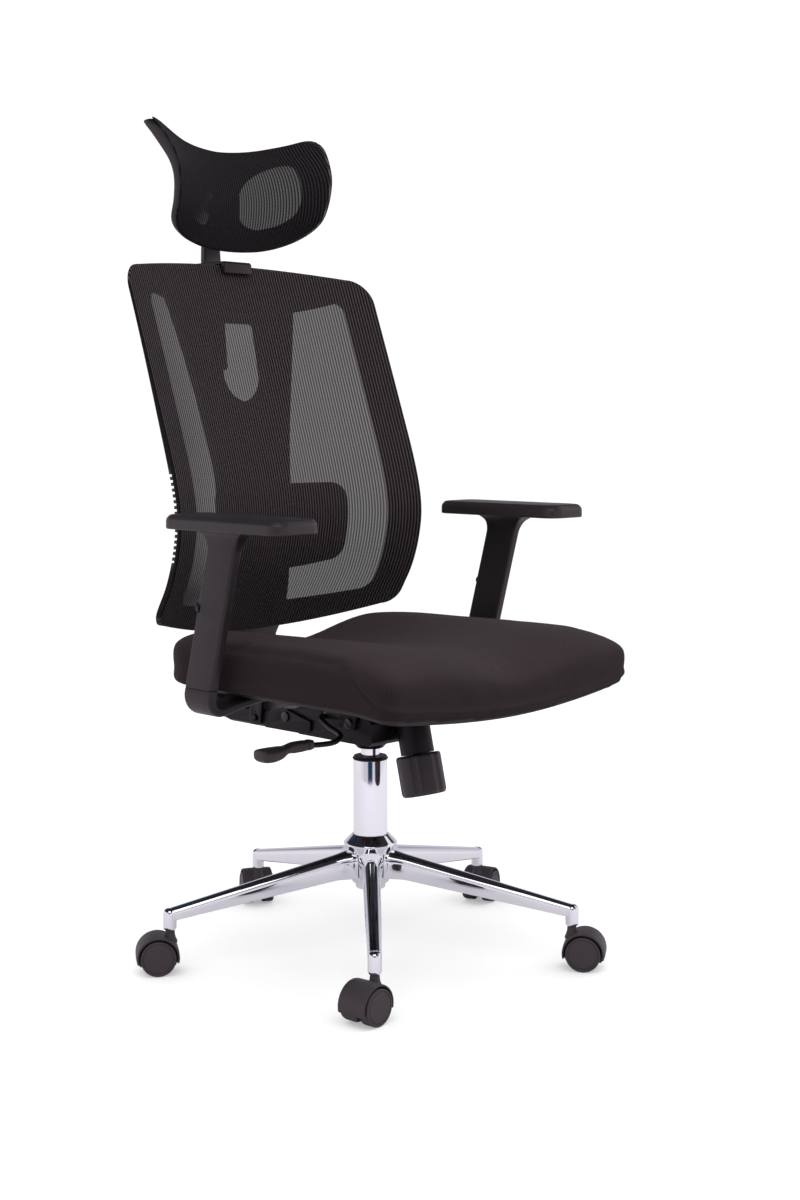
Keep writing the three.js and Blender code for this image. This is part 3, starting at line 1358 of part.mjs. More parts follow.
/** Front of the mesh: hollow from side to side, and leaning back above and below its middle. */
function headSurface(x, z) {
  const middle = headSetback(headShare(z));
  const edge = -headWing(headShare(z));
  return HEAD_CENTRE_Y + middle - (middle - edge) * Math.min((x / HEAD_REACH) ** 2, 1.2);
}

/** The outline as one smooth closed line: horns above, full rounded corners below. */
const HEAD_CORNERS = [
  [0, 0],
  [42, 0.01],
  [72, 0.035],
  [100, 0.08],
  [121, 0.136],
  [135, 0.202],
  [142, 0.27],
  [145.5, 0.36],
  [149, 0.5],
  [152.5, 0.635],
  [156.5, 0.755],
  [161, 0.865],
  [164, 0.94],
  [162.5, 0.985],
  [155, 1],
  [142, 0.988],
  [122, 0.953],
  [98, 0.918],
  [72, 0.885],
  [48, 0.863],
  [24, 0.849],
];
const HEAD_POINTS = 56;

function headLoop() {
  const right = HEAD_CORNERS.map(([x, share]) => new THREE.Vector2(x, headZ(share)));
  const left = right.slice(1).reverse();
  const topMiddle = new THREE.Vector2(0, HEAD_TOP);
  const round = [...right, topMiddle, ...left.map(({ x, y }) => new THREE.Vector2(-x, y))];
  const curve = new THREE.SplineCurve([...round, round[0]]);
  return curve.getSpacedPoints(HEAD_POINTS).slice(0, -1).map(({ x, y }) => [x, y]);
}

const headCentre = [0, headZ(0.43)];
const headOutline = headLoop();
const headHalf = Math.max(...headOutline.map(([x]) => x));
const headInner = headOutline.map(([x, z]) => [
  x * (1 - HEAD_RIM / headHalf),
  headCentre[1] + (z - headCentre[1]) * (1 - (2 * HEAD_RIM) / headHeight),
]);
add("headrest_mesh", sheet(headOutline, headInner, headSurface, MESH_THICKNESS, headCentre), MESH_CLOTH);

/** How far the rear frame stands behind the mesh: most in the middle, least all along the rim. */
function headDepth(x, z) {
  const share = headShare(z);
  const across = 1 - smoothstep(Math.abs(x), 20, HEAD_REACH * 0.92);
  const upright = smoothstep(share, 0.03, 0.25) * (1 - smoothstep(share, 0.6, 0.84));
  return FRAME_OFFSET + HEAD_FRAME_DEPTH * across * upright;
}

/** Rear frame: a rim that follows the mesh and a middle post carrying two windows. */
function headrestFrame() {
  const smaller = [0.72, 0.4, 0.1].map((share) => shrink(headInner, share, headCentre));
  const loops = [headOutline, headInner, ...smaller];
  const shell = (x, z) => headSurface(x, z) + headDepth(x, z);
  const front = loops.map((points) => onSurface(points, shell, 0));
  const back = loops.map((points) => onSurface(points, shell, HEAD_FRAME_THICKNESS));
  let made = skin([...front.toReversed(), ...back]);
  const post = LUG_INNER + LUG_THICKNESS + 2;
  const window = [
    [post, 0.28],
    [post, 0.44],
    [post + 4, 0.52],
    [44, 0.615],
    [64, 0.69],
    [88, 0.745],
    [108, 0.765],
    [119, 0.75],
    [121, 0.68],
    [119, 0.55],
    [115, 0.42],
    [107, 0.325],
    [87, 0.245],
    [57, 0.2],
    [38, 0.215],
  ].map(([x, share]) => [x, headZ(share)]);
  for (const s of [-1, 1]) {
    made = made.subtract(prism(window.map(([x, z]) => [s * x, z]), 200, 400, alongY));
  }
  for (const s of [-1, 1]) {
    const root = (z) => shell(LUG_INNER, z) + HEAD_FRAME_THICKNESS / 2;
    const lug = [
      [root(HEAD_PIVOT_Z - 15), HEAD_PIVOT_Z - 15],
      [HEAD_PIVOT_Y + 2, HEAD_PIVOT_Z - 8],
      [HEAD_PIVOT_Y + 8, HEAD_PIVOT_Z - 3],
      [HEAD_PIVOT_Y + 8, HEAD_PIVOT_Z + 3],
      [HEAD_PIVOT_Y + 2, HEAD_PIVOT_Z + 8],
      [root(HEAD_PIVOT_Z + 15), HEAD_PIVOT_Z + 15],
    ];
    made = made.add(prism(lug, s * LUG_INNER, s * (LUG_INNER + LUG_THICKNESS), alongX));
  }
  return made.subtract(headPinRod(HEAD_PIN_RADIUS + GAP, 60));
}

const headPinRod = (radius, half) =>
  rod([-half, HEAD_PIVOT_Y, HEAD_PIVOT_Z], [half, HEAD_PIVOT_Y, HEAD_PIVOT_Z], radius, 14);

add("headrest_frame", headrestFrame(), BLACK_PLASTIC);
add("headrest_pin", headPinRod(HEAD_PIN_RADIUS, LUG_INNER + LUG_THICKNESS + 1), STEEL);

const postLean = Math.tan(rad(POST_LEAN_DEG));
const BRACKET_TOP = BACK_TOP + 5;
const BRACKET_BOTTOM = 950;

/** Centre line of the post: straight and leaning, then curving forward to the pivot. */
const postY = (z) => POST_FOOT_Y + postLean * (z - POST_FOOT_Z);

function headrestPost() {
  const bendZ = BRACKET_TOP + 4;
  const neck = (share) => lerp(bendZ, HEAD_PIVOT_Z - 3, share);
  const stations = [
    [postY(POST_FOOT_Z), POST_FOOT_Z, 0, POST_HALF_WIDTH - 3],
    [postY(POST_FOOT_Z + 4), POST_FOOT_Z + 4, 0, POST_HALF_WIDTH],
    [postY(bendZ), bendZ, 0, POST_HALF_WIDTH],
    [postY(bendZ) + 0.5, neck(0.26), 6, POST_HALF_WIDTH - 1],
    [postY(bendZ) - 4, neck(0.53), 17, POST_HALF_WIDTH - 2],
    [postY(bendZ) - 13, neck(0.77), 32, LUG_INNER - PLAY],
    [HEAD_PIVOT_Y + 1, neck(1), 40, LUG_INNER - PLAY],
  ];
  const section = ([y, z, turn, half]) =>
    chamfered(half, POST_THICKNESS / 2, 2).map(([x, v]) => [
      x,
      y + v * Math.cos(rad(turn)),
      z + v * Math.sin(rad(turn)),
    ]);
  return skin(stations.map(section))
    .add(headPinRod(8, LUG_INNER - PLAY))
    .subtract(headPinRod(HEAD_PIN_RADIUS + GAP, 60));
}

/** The bracket: a block behind the spine that guides the post and hooks over the backrest's top rail. */
function headrestBracket() {
  const clear = 0.8;
  const lipBack = backSurface(BRACKET_HALF_WIDTH, 1000) - GAP - clear;
  const side = [
    [lipBack - 7, 1000],
    [lipBack, 1000],
    [lipBack + 2, BACK_TOP + GAP],
    [spineBack(SPINE_TOP) + clear, BACK_TOP + GAP],
    ...[SPINE_TOP, 985, 960, BRACKET_BOTTOM].map((z) => [spineBack(z) + clear, z]),
    [BRACKET_REAR, BRACKET_BOTTOM],
    [BRACKET_REAR + 4, BRACKET_BOTTOM + 8],
    [BRACKET_REAR + 4, BRACKET_TOP - 5],
    [BRACKET_REAR, BRACKET_TOP],
    [lipBack - 3, BRACKET_TOP],
    [lipBack - 7, BRACKET_TOP - 3],
  ];
  const slotAt = (z) =>
    rounded(POST_HALF_WIDTH + GAP, POST_THICKNESS / 2 + GAP, 2, 1).map(([x, y]) => [x, postY(z) + y, z]);
  const slot = skin([BRACKET_BOTTOM - 10, BRACKET_TOP + 10].map(slotAt));
  return prism(side, -BRACKET_HALF_WIDTH, BRACKET_HALF_WIDTH, alongX).subtract(slot);
}

add("headrest_post", headrestPost(), BLACK_STEEL);
add("headrest_bracket", headrestBracket(), BLACK_PLASTIC);

// ---- centre the chair over its own footprint ----
const middle = new THREE.Box3().setFromObject(chair).getCenter(new THREE.Vector3());
chair.position.set(-Math.round(middle.x), -Math.round(middle.y), 0);

export default chair;
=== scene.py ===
"""The looks of a swivel office chair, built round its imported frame.

Sizes are in millimetres about the gas lift's axis, with Z up from the floor, the sitter facing -Y and
the sitter's right hand at -X. `in_row` turns them into metres in the row frame.
"""

from __future__ import annotations

import json
import logging
import math
from dataclasses import dataclass, field
from enum import Enum
from typing import Any, Callable, Sequence

import bmesh
import bpy
import numpy as np
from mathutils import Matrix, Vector


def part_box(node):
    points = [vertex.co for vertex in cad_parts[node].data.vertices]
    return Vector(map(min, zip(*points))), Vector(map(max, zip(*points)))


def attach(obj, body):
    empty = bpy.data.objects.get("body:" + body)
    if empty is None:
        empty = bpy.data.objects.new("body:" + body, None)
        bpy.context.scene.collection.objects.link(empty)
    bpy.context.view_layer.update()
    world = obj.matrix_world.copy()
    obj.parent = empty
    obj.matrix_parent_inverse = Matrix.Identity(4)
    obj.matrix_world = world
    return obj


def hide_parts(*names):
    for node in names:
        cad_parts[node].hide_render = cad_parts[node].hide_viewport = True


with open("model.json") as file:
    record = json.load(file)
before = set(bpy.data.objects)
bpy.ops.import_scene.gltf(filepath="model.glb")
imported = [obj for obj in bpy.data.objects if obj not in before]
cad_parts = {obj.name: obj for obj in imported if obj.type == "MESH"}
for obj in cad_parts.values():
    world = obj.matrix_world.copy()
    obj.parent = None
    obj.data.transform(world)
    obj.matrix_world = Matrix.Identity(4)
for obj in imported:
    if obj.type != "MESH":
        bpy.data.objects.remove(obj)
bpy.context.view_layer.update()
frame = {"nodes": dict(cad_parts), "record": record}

Array = np.ndarray
Curve = Callable[[Any], Any]
log = logging.getLogger("chair")

MM = 0.001
LIFT_LOW, LIFT_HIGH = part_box("gas_cylinder")
AXIS = np.array([LIFT_LOW.x + LIFT_HIGH.x, LIFT_LOW.y + LIFT_HIGH.y, 0.0]) / 2
TAU = 2 * math.pi
SHARP_DEG = 38.0
# Depths from before to behind the back, for cuts that run through it.
THROUGH = (200.0, 400.0)
# A net's share for the wrap round its frame, its hem in metres, and its spare flat area.
WRAP, HEM, SPARE = 1.06, 0.02, 1.02


# ---- numbers and curves ----


def in_row(points: Array) -> Array:
    """Row-frame metres from millimetres about the lift axis: their thousandths plus the axis's place."""
    return np.asarray(points, float) * MM + AXIS


def lerp(a: Any, b: Any, t: Any) -> Any:
    """The value a share t of the way from a to b."""
    return a + (b - a) * t


def smoothstep(value: Any, low: float, high: float) -> Any:
    """0 below low, 1 above high, and three t squared minus two t cubed between them."""
    t = np.clip((np.asarray(value, float) - low) / (high - low), 0, 1)
    return t * t * (3 - 2 * t)


def flat(value: float) -> Curve:
    """A curve with one value everywhere."""
    return lambda position: value + 0 * np.asarray(position, float)


def bowed(value: float, rise: float, half: float) -> Curve:
    """A curve that rises from its middle value with the square of the share of a half-width."""
    return lambda position: value + rise * (np.asarray(position, float) / half) ** 2


def smooth(knots: Sequence[tuple[float, float]]) -> Curve:
    """A smooth curve through knots: cubic Hermite spans whose slope at a knot is that of its neighbours.

    Args:
        knots: (position, value) pairs, in order.

    Returns:
        A function of position that works on whole arrays.
    """
    at, value = np.array(knots, float).T
    low = np.maximum(np.arange(len(at)) - 1, 0)
    high = np.minimum(np.arange(len(at)) + 1, len(at) - 1)
    slope = (value[high] - value[low]) / (at[high] - at[low])

    def curve(position: Any) -> Any:
        """The curve's value; beyond its ends it keeps the end values."""
        p = np.clip(np.asarray(position, float), at[0], at[-1])
        i = np.clip(np.searchsorted(at, p, side="right") - 1, 0, len(at) - 2)
        h = at[i + 1] - at[i]
        t = (p - at[i]) / h
        rise = t * t * (3 - 2 * t)
        bend = h * t * (1 - t) * (slope[i] * (1 - t) - slope[i + 1] * t)
        return value[i] + (value[i + 1] - value[i]) * rise + bend

    return curve


def columns(table: Any, at: Array) -> list[Array]:
    """Smooth curves through a table's columns, read at positions along its first."""
    knots = np.array(table, float)
    return [smooth(list(zip(knots[:, 0], column)))(at) for column in knots[:, 1:].T]


def walked(points: Array) -> Array:
    """Distance along a run of points, from 0 at the first."""
    return np.concatenate([[0], np.cumsum(np.linalg.norm(np.diff(points, axis=0), axis=1))])


def through(points: Sequence[Sequence[float]], count: int) -> Array:
    """Points along a smooth curve through given points, spread evenly by chord length.

    Args:
        points: the points to pass through.
        count: how many points to return.

    Returns:
        An array of count points.
    """
    p = np.array(points, float)
    run = walked(p)
    return np.stack(columns(np.column_stack([run, p]), np.linspace(0, run[-1], count)), -1)


def ring_through(points: Sequence[Sequence[float]], count: int) -> Array:
    """Points evenly spread along a smooth closed curve through given points.

    Args:
        points: the points to pass through, in order.
        count: how many points to return.

    Returns:
        An array of (count, 2).
    """
    p = np.array(points, float)
    spans = len(p)
    p = np.concatenate([p[-3:], p, p[:4]])
    run = walked(p)
    at = np.linspace(run[3], run[3 + spans], 8 * count + 1)
    fine = np.stack(columns(np.column_stack([run, p]), at), -1)
    length = walked(fine)
    even = np.linspace(0, length[-1], count, endpoint=False)
    return np.stack([np.interp(even, length, fine[:, k]) for k in (0, 1)], -1)


# ---- outlines and sections ----


def rounded_rect(half_x: Any, half_y: Any, radius: Any, steps: int = 5) -> Array:
    """Rounded rectangles: each corner is a quarter circle about a point one radius inside it.

    Args:
        half_x: half-width, a number or one per station.
        half_y: half-height, the same.
        radius: corner radius, the same.
        steps: spans in a corner.

    Returns:
        An array of (stations, 4 * (steps + 1), 2).
    """
    hx, hy, r = np.broadcast_arrays(*(np.atleast_1d(np.asarray(v, float)) for v in (half_x, half_y, radius)))
    angle = np.radians(np.linspace(0, 90, steps + 1) + 90 * np.arange(4)[:, None]).ravel()
    sx = np.repeat([1, -1, -1, 1], steps + 1)
    sy = np.repeat([1, 1, -1, -1], steps + 1)
    x = sx * (hx - r)[:, None] + r[:, None] * np.cos(angle)
    y = sy * (hy - r)[:, None] + r[:, None] * np.sin(angle)
    return np.stack([x, y], -1)


def filleted(points: Sequence[Sequence[float]], radius: float, steps: int = 4, closed: bool = False) -> Array:
    """A polygon with each corner rounded by a quadratic curve that starts and ends a radius away from it.

    Args:
        points: the corners.
        radius: how far from a corner the curve starts, at most 0.45 of the side.
        steps: spans in a corner.
        closed: whether the last corner joins the first.

    Returns:
        The rounded polygon's points.
    """
    p = np.array(points, float)
    before = np.roll(p, 1, 0) - p
    after = np.roll(p, -1, 0) - p
    reach_b = np.minimum(radius / np.maximum(np.linalg.norm(before, axis=1), 1e-9), 0.45)
    reach_a = np.minimum(radius / np.maximum(np.linalg.norm(after, axis=1), 1e-9), 0.45)
    if not closed:
        reach_b[[0, -1]] = reach_a[[0, -1]] = 0
    start = p + before * reach_b[:, None]
    end = p + after * reach_a[:, None]
    t = np.linspace(0, 1, steps + 1)[None, :, None]
    made = (1 - t) ** 2 * start[:, None] + 2 * t * (1 - t) * p[:, None] + t**2 * end[:, None]
    if closed:
        return made.reshape(-1, 2)
    return np.concatenate([p[:1], made[1:-1].reshape(-1, 2), p[-1:]])


def shrink(points: Array, share: float, centre: Sequence[float]) -> Array:
    """A smaller copy of an outline about a centre."""
    return np.asarray(centre) + (points - np.asarray(centre)) * share


@dataclass(frozen=True)
class Outline:
    """An upright outline, the same on both sides: bowed sides, arched top and bottom, round corners.

    Attributes:
        side: half-width at a height.
        top: height of the top edge at a distance from the middle.
        bottom: height of the bottom edge, the same.
        top_radius: radius of the top corners.
        bottom_radius: radius of the bottom corners.
    """

    side: Curve
    top: Curve
    bottom: Curve
    top_radius: float
    bottom_radius: float

    def points(self, across: int = 26, up: int = 70, corner: int = 10) -> Array:
        """The outline as (x, z) points, from the middle of the bottom edge round by +X.

        Args:
            across: spans along half the top or bottom edge.
            up: spans along a side.
            corner: spans round a corner.

        Returns:
            The closed outline's points.
        """
        br, tr = self.bottom_radius, self.top_radius
        foot_x = self.side(self.bottom(self.side(0.0)) + br) - br
        head_x = self.side(self.top(self.side(1e6)) - tr) - tr
        foot_z = self.bottom(foot_x) + br
        head_z = self.top(head_x) - tr
        x0 = np.linspace(0, foot_x, across + 1)[:-1]
        low = np.radians(np.linspace(-90, 0, corner + 1)[:-1])
        z1 = np.linspace(foot_z, head_z, up + 1)[:-1]
        high = np.radians(np.linspace(0, 90, corner + 1)[:-1])
        x2 = np.linspace(head_x, 0, across + 1)
        x = np.concatenate([x0, foot_x + br * np.cos(low), self.side(z1) + 0 * z1, head_x + tr * np.cos(high), x2])
        z = np.concatenate(
            [self.bottom(x0) + 0 * x0, foot_z + br * np.sin(low), z1, head_z + tr * np.sin(high), self.top(x2) + 0 * x2]
        )
        right = np.stack([x, z], -1)
        return np.concatenate([right, right[-2:0:-1] * [-1, 1]])


# ---- surfaces ----


def turned(profile: Array, segments: int = 56) -> Array:
    """A surface of revolution: each (radius, height) carried round Z as radius times cosine and sine."""
    angle = np.linspace(0, TAU, segments, endpoint=False)
    r, z = np.asarray(profile, float).T
    return np.stack([np.outer(r, np.cos(angle)), np.outer(r, np.sin(angle)), z[:, None] + 0 * angle], -1)


def lofted(centres: Array, rights: Array, ups: Array, sections: Array) -> Array:
    """Rings: each station's centre plus right times a section point's first number plus up times its second."""
    c, r, u = (np.asarray(v, float)[:, None, :] for v in (centres, rights, ups))
    return c + r * sections[..., 0:1] + u * sections[..., 1:2]


def swept(path: Array, radius: Any, segments: int = 16) -> Array:
    """A tube: circles square to the path, whose frames turn no more than the path does.

    Args:
        path: (stations, 3) points.
        radius: tube radius, a number or one per station.
        segments: points in a circle.

    Returns:
        An array of (stations, segments, 3).
    """
    tangent = np.gradient(path, axis=0)
    tangent /= np.linalg.norm(tangent, axis=1)[:, None]
    side = np.cross(tangent[0], [0.0, 0.0, 1.0])
    if np.linalg.norm(side) < 0.1:
        side = np.cross(tangent[0], [0.0, 1.0, 0.0])
    sides = []
    for t in tangent:
        side = side - t * np.dot(side, t)
        side = side / np.linalg.norm(side)
        sides.append(side)
    rights = np.array(sides)
    angle = np.linspace(0, TAU, segments, endpoint=False)
    circle = np.stack([np.cos(angle), np.sin(angle)], -1)[None] * np.reshape(radius + 0 * path[:, 0], (-1, 1, 1))
    return lofted(path, rights, np.cross(tangent, rights), circle)


def stood(outline: Array, depth: Any) -> Array:
    """An (x, z) outline stood up at a depth, a number or one per point."""
    return np.stack([outline[:, 0], depth + 0 * outline[:, 0], outline[:, 1]], -1)


def turn_about_z(points: Array, degrees: float) -> Array:
    """Points turned about Z by an angle."""
    c, s = math.cos(math.radians(degrees)), math.sin(math.radians(degrees))
    return points @ np.array([[c, s, 0], [-s, c, 0], [0, 0, 1]])


def placed(name: str, data: Any) -> bpy.types.Object:
    """A new object in the scene, at the origin."""
    made = bpy.data.objects.new(name, data)
    bpy.context.scene.collection.objects.link(made)
    return made


class Shell:
    """Grids and caps gathered into one mesh, in millimetres about the lift axis."""

    def __init__(self) -> None:
        """An empty shell."""
        self.points: list[Array] = []
        self.quads: list[Array] = []
        self.tris: list[Array] = []
        self.count = 0

    def grid(self, p: Array, around: bool = True, looped: bool = False) -> "Shell":
        """Adds a grid of quads between neighbouring rows and columns.

        Args:
            p: (rows, columns, 3) points.
            around: whether the last column joins the first.
            looped: whether the last row joins the first.

        Returns:
            The shell itself.
        """
        rows, cols = p.shape[:2]
        index = self.count + np.arange(rows * cols).reshape(rows, cols)
        i = np.arange(rows if looped else rows - 1)[:, None]
        j = np.arange(cols if around else cols - 1)[None, :]
        after, beside = (i + 1) % rows, (j + 1) % cols
        corners = [index[i, j], index[i, beside], index[after, beside], index[after, j]]
        self.quads.append(np.stack(corners, -1).reshape(-1, 4))
        self.points.append(p.reshape(-1, 3))
        self.count += rows * cols
        return self

    def cap(self, loop: Array) -> "Shell":
        """Closes a ring of points with a fan about their mean."""
        n = len(loop)
        i = self.count + np.arange(n)
        self.tris.append(np.stack([i, self.count + (np.arange(n) + 1) % n, np.full(n, self.count + n)], -1))
        self.points.append(np.concatenate([loop, loop.mean(0, keepdims=True)]))
        self.count += n + 1
        return self

    def solid(self, p: Array) -> "Shell":
        """Adds a closed loft: rings of points with both ends capped."""
        return self.grid(p).cap(p[0]).cap(p[-1])

    def box(self, low: Sequence[float], high: Sequence[float], radius: float) -> "Shell":
        """Adds a box with softened edges: rounded sections whose ends draw in by the radius."""
        lo, hi = np.array(low, float), np.array(high, float)
        half, middle = (hi - lo) / 2, (hi + lo) / 2
        angle = np.radians(np.linspace(0, 90, 4))
        inset = np.concatenate([radius * (1 - np.sin(angle)), radius * (1 - np.sin(angle[::-1]))])
        x = np.concatenate([-half[0] + radius * (1 - np.cos(angle)), half[0] - radius * (1 - np.cos(angle[::-1]))])
        section = rounded_rect(half[1] - inset, half[2] - inset, np.maximum(radius - inset, 0.05), 3)
        p = np.concatenate([np.broadcast_to(x[:, None, None], (*section.shape[:2], 1)), section], -1) + middle
        return self.solid(p)

    def moved(self, place: Callable[[Array], Array]) -> "Shell":
        """Carries every point through a function of (n, 3) points."""
        self.points = [place(p) for p in self.points]
        return self

    def mirrored(self) -> "Shell":
        """The same shell on the other side of the chair's middle."""
        return self.moved(lambda p: p * [-1, 1, 1])

    def piece(self, name: str, closed: bool = True, sharp_deg: float = SHARP_DEG) -> bpy.types.Object:
        """Makes the mesh object: doubles merged, faces turned outwards, smooth but for its sharp edges.

        Args:
            name: the object's name.
            closed: whether the shell encloses space, so that its faces have an outside.
            sharp_deg: edges bent by more than this stay sharp.

        Returns:
            The new object, at the origin, with its place in its mesh.
        """
        mesh = bpy.data.meshes.new(name)
        faces = [f for group in (*self.quads, *self.tris) for f in group.tolist()]
        mesh.from_pydata(in_row(np.concatenate(self.points)).tolist(), [], faces)
        work = bmesh.new()
        work.from_mesh(mesh)
        bmesh.ops.remove_doubles(work, verts=work.verts, dist=2e-6)
        bmesh.ops.dissolve_degenerate(work, edges=work.edges, dist=1e-6)
        if closed:
            bmesh.ops.recalc_face_normals(work, faces=work.faces)
        work.to_mesh(mesh)
        work.free()
        mesh.shade_smooth()
        mesh.set_sharp_from_angle(angle=math.radians(sharp_deg))
        return placed(name, mesh)


def slab(outline: Array) -> Shell:
    """A closed slab of an (x, z) outline that runs right through the back."""
    return Shell().solid(np.stack([stood(outline, depth) for depth in THROUGH]))


def baked(piece: bpy.types.Object) -> bpy.types.Object:
    """Applies a piece's modifiers to its mesh."""
    graph = bpy.context.evaluated_depsgraph_get()
    mesh = bpy.data.meshes.new_from_object(piece.evaluated_get(graph), depsgraph=graph)
    piece.modifiers.clear()
    piece.data = mesh
    return piece


def carve(piece: bpy.types.Object, cutters: Sequence[bpy.types.Object]) -> bpy.types.Object:
    """Cuts other closed meshes out of a piece and removes them."""
    for cutter in cutters:
        cut = piece.modifiers.new("cut", "BOOLEAN")
        cut.operation, cut.object, cut.solver = "DIFFERENCE", cutter, "EXACT"
    bpy.context.view_layer.update()
    baked(piece)
    piece.data.set_sharp_from_angle(angle=math.radians(SHARP_DEG))
    for cutter in cutters:
        bpy.data.objects.remove(cutter)
    return piece


def softened(node: str, width: float = 0.7, segments: int = 2) -> bpy.types.Object:
    """A copy of a CAD node with its corners broken: doubles merged, flat faces joined, sharp edges bevelled.

    Args:
        node: the CAD node's name.
        width: the bevel's width in millimetres.
        segments: spans across the bevel.

    Returns:
        The copy, which stands for the node.
    """
    made = placed(f"{node}_finished", frame["nodes"][node].data.copy())
    work = bmesh.new()
    work.from_mesh(made.data)
    bmesh.ops.remove_doubles(work, verts=work.verts, dist=1e-5)
    bmesh.ops.dissolve_limit(work, angle_limit=math.radians(2), verts=work.verts, edges=work.edges)
    work.to_mesh(made.data)
    work.free()
    made.data.shade_smooth()
    bevel = made.modifiers.new("softened edges", "BEVEL")
    bevel.width, bevel.segments = width * MM, segments
    bevel.limit_method, bevel.angle_limit = "ANGLE", math.radians(SHARP_DEG)
    bevel.harden_normals = True
    baked(made)
    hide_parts(node)
    return made


# ---- shader nodes ----


class Nodes:
    """Short ways to place and join shader nodes in one tree."""

    def __init__(self, tree: bpy.types.NodeTree) -> None:
        """Works on an existing tree."""
        self.tree = tree

    def new(self, kind: str, **settings: Any) -> bpy.types.Node:
        """A new node with its properties set."""
        node = self.tree.nodes.new(kind)
        for name, value in settings.items():
            setattr(node, name, value)
        return node

    def feed(self, socket: bpy.types.NodeSocket, value: Any) -> None:
        """Joins a socket to another, or sets its constant."""
        if isinstance(value, bpy.types.NodeSocket):
            self.tree.links.new(value, socket)
        else:
            socket.default_value = value

    def math(self, operation: str, a: Any, b: Any = 0.0, clamp: bool = False) -> bpy.types.NodeSocket:
        """One arithmetic step."""
        node = self.new("ShaderNodeMath", operation=operation, use_clamp=clamp)
        self.feed(node.inputs[0], a)
        self.feed(node.inputs[1], b)
        return node.outputs[0]

    def mix(self, share: Any, a: Any, b: Any) -> bpy.types.NodeSocket:
        """A colour a share of the way from a to b."""
        node = self.new("ShaderNodeMix", data_type="RGBA")
        self.feed(node.inputs[0], share)
        self.feed(node.inputs[6], a)
        self.feed(node.inputs[7], b)
        return node.outputs[2]

    def blend(self, share: Any, a: Any, b: Any) -> bpy.types.NodeSocket:
        """A number a share of the way from a to b."""
        node = self.new("ShaderNodeMix", data_type="FLOAT")
        self.feed(node.inputs[0], share)
        self.feed(node.inputs[2], a)
        self.feed(node.inputs[3], b)
        return node.outputs[0]

    def noise(self, vector: Any, scale: Any, detail: float = 2.0) -> bpy.types.NodeSocket:
        """Fractal noise between 0 and 1 at a point."""
        node = self.new("ShaderNodeTexNoise")
        self.feed(node.inputs["Vector"], vector)
        self.feed(node.inputs["Scale"], scale)
        node.inputs["Detail"].default_value = detail
        return node.outputs["Fac"]

    def ramp(self, value: Any, low: float, high: float) -> bpy.types.NodeSocket:
        """0 below low, 1 above high, smooth between them."""
        node = self.new("ShaderNodeMapRange", interpolation_type="SMOOTHSTEP")
        self.feed(node.inputs["Value"], value)
        node.inputs["From Min"].default_value = low
        node.inputs["From Max"].default_value = high
        return node.outputs["Result"]

    def place(self) -> bpy.types.NodeSocket:
        """The point's object coordinates."""
        return self.new("ShaderNodeTexCoord").outputs["Object"]

    def outward(self) -> bpy.types.NodeSocket:
        """The surface's own outward direction, on the object's axes."""
        return self.new("ShaderNodeTexCoord").outputs["Normal"]

    def axes(self, vector: Any) -> list[bpy.types.NodeSocket]:
        """A vector's three numbers."""
        node = self.new("ShaderNodeSeparateXYZ")
        self.feed(node.inputs[0], vector)
        return list(node.outputs)

    def wave(self, along: Any, pitch: float, phase: float = 0.0) -> bpy.types.NodeSocket:
        """Half of one plus the sine of the distance over the pitch: 0 to 1 and back once a pitch."""
        turns = self.math("ADD", self.math("MULTIPLY", along, TAU / pitch), phase)
        return self.math("MULTIPLY", self.math("ADD", self.math("SINE", turns), 1.0), 0.5)


COLOUR, NUMBER = "NodeSocketColor", "NodeSocketFloat"


def effect(name: str, inputs: dict[str, tuple[str, Any]], outputs: dict[str, str]) -> tuple[Any, Nodes, dict, Any]:
    """Starts a shader node group.

    Args:
        name: the group's name.
        inputs: each input's socket type and default value.
        outputs: each output's socket type.

    Returns:
        The group, its nodes, its input sockets by name and its output node.
    """
    tree = bpy.data.node_groups.new(name, "ShaderNodeTree")
    for label, (kind, value) in inputs.items():
        tree.interface.new_socket(label, in_out="INPUT", socket_type=kind).default_value = value
    for label, kind in outputs.items():
        tree.interface.new_socket(label, in_out="OUTPUT", socket_type=kind)
    nodes = Nodes(tree)
    given = nodes.new("NodeGroupInput").outputs
    return tree, nodes, {label: given[label] for label in inputs}, nodes.new("NodeGroupOutput")


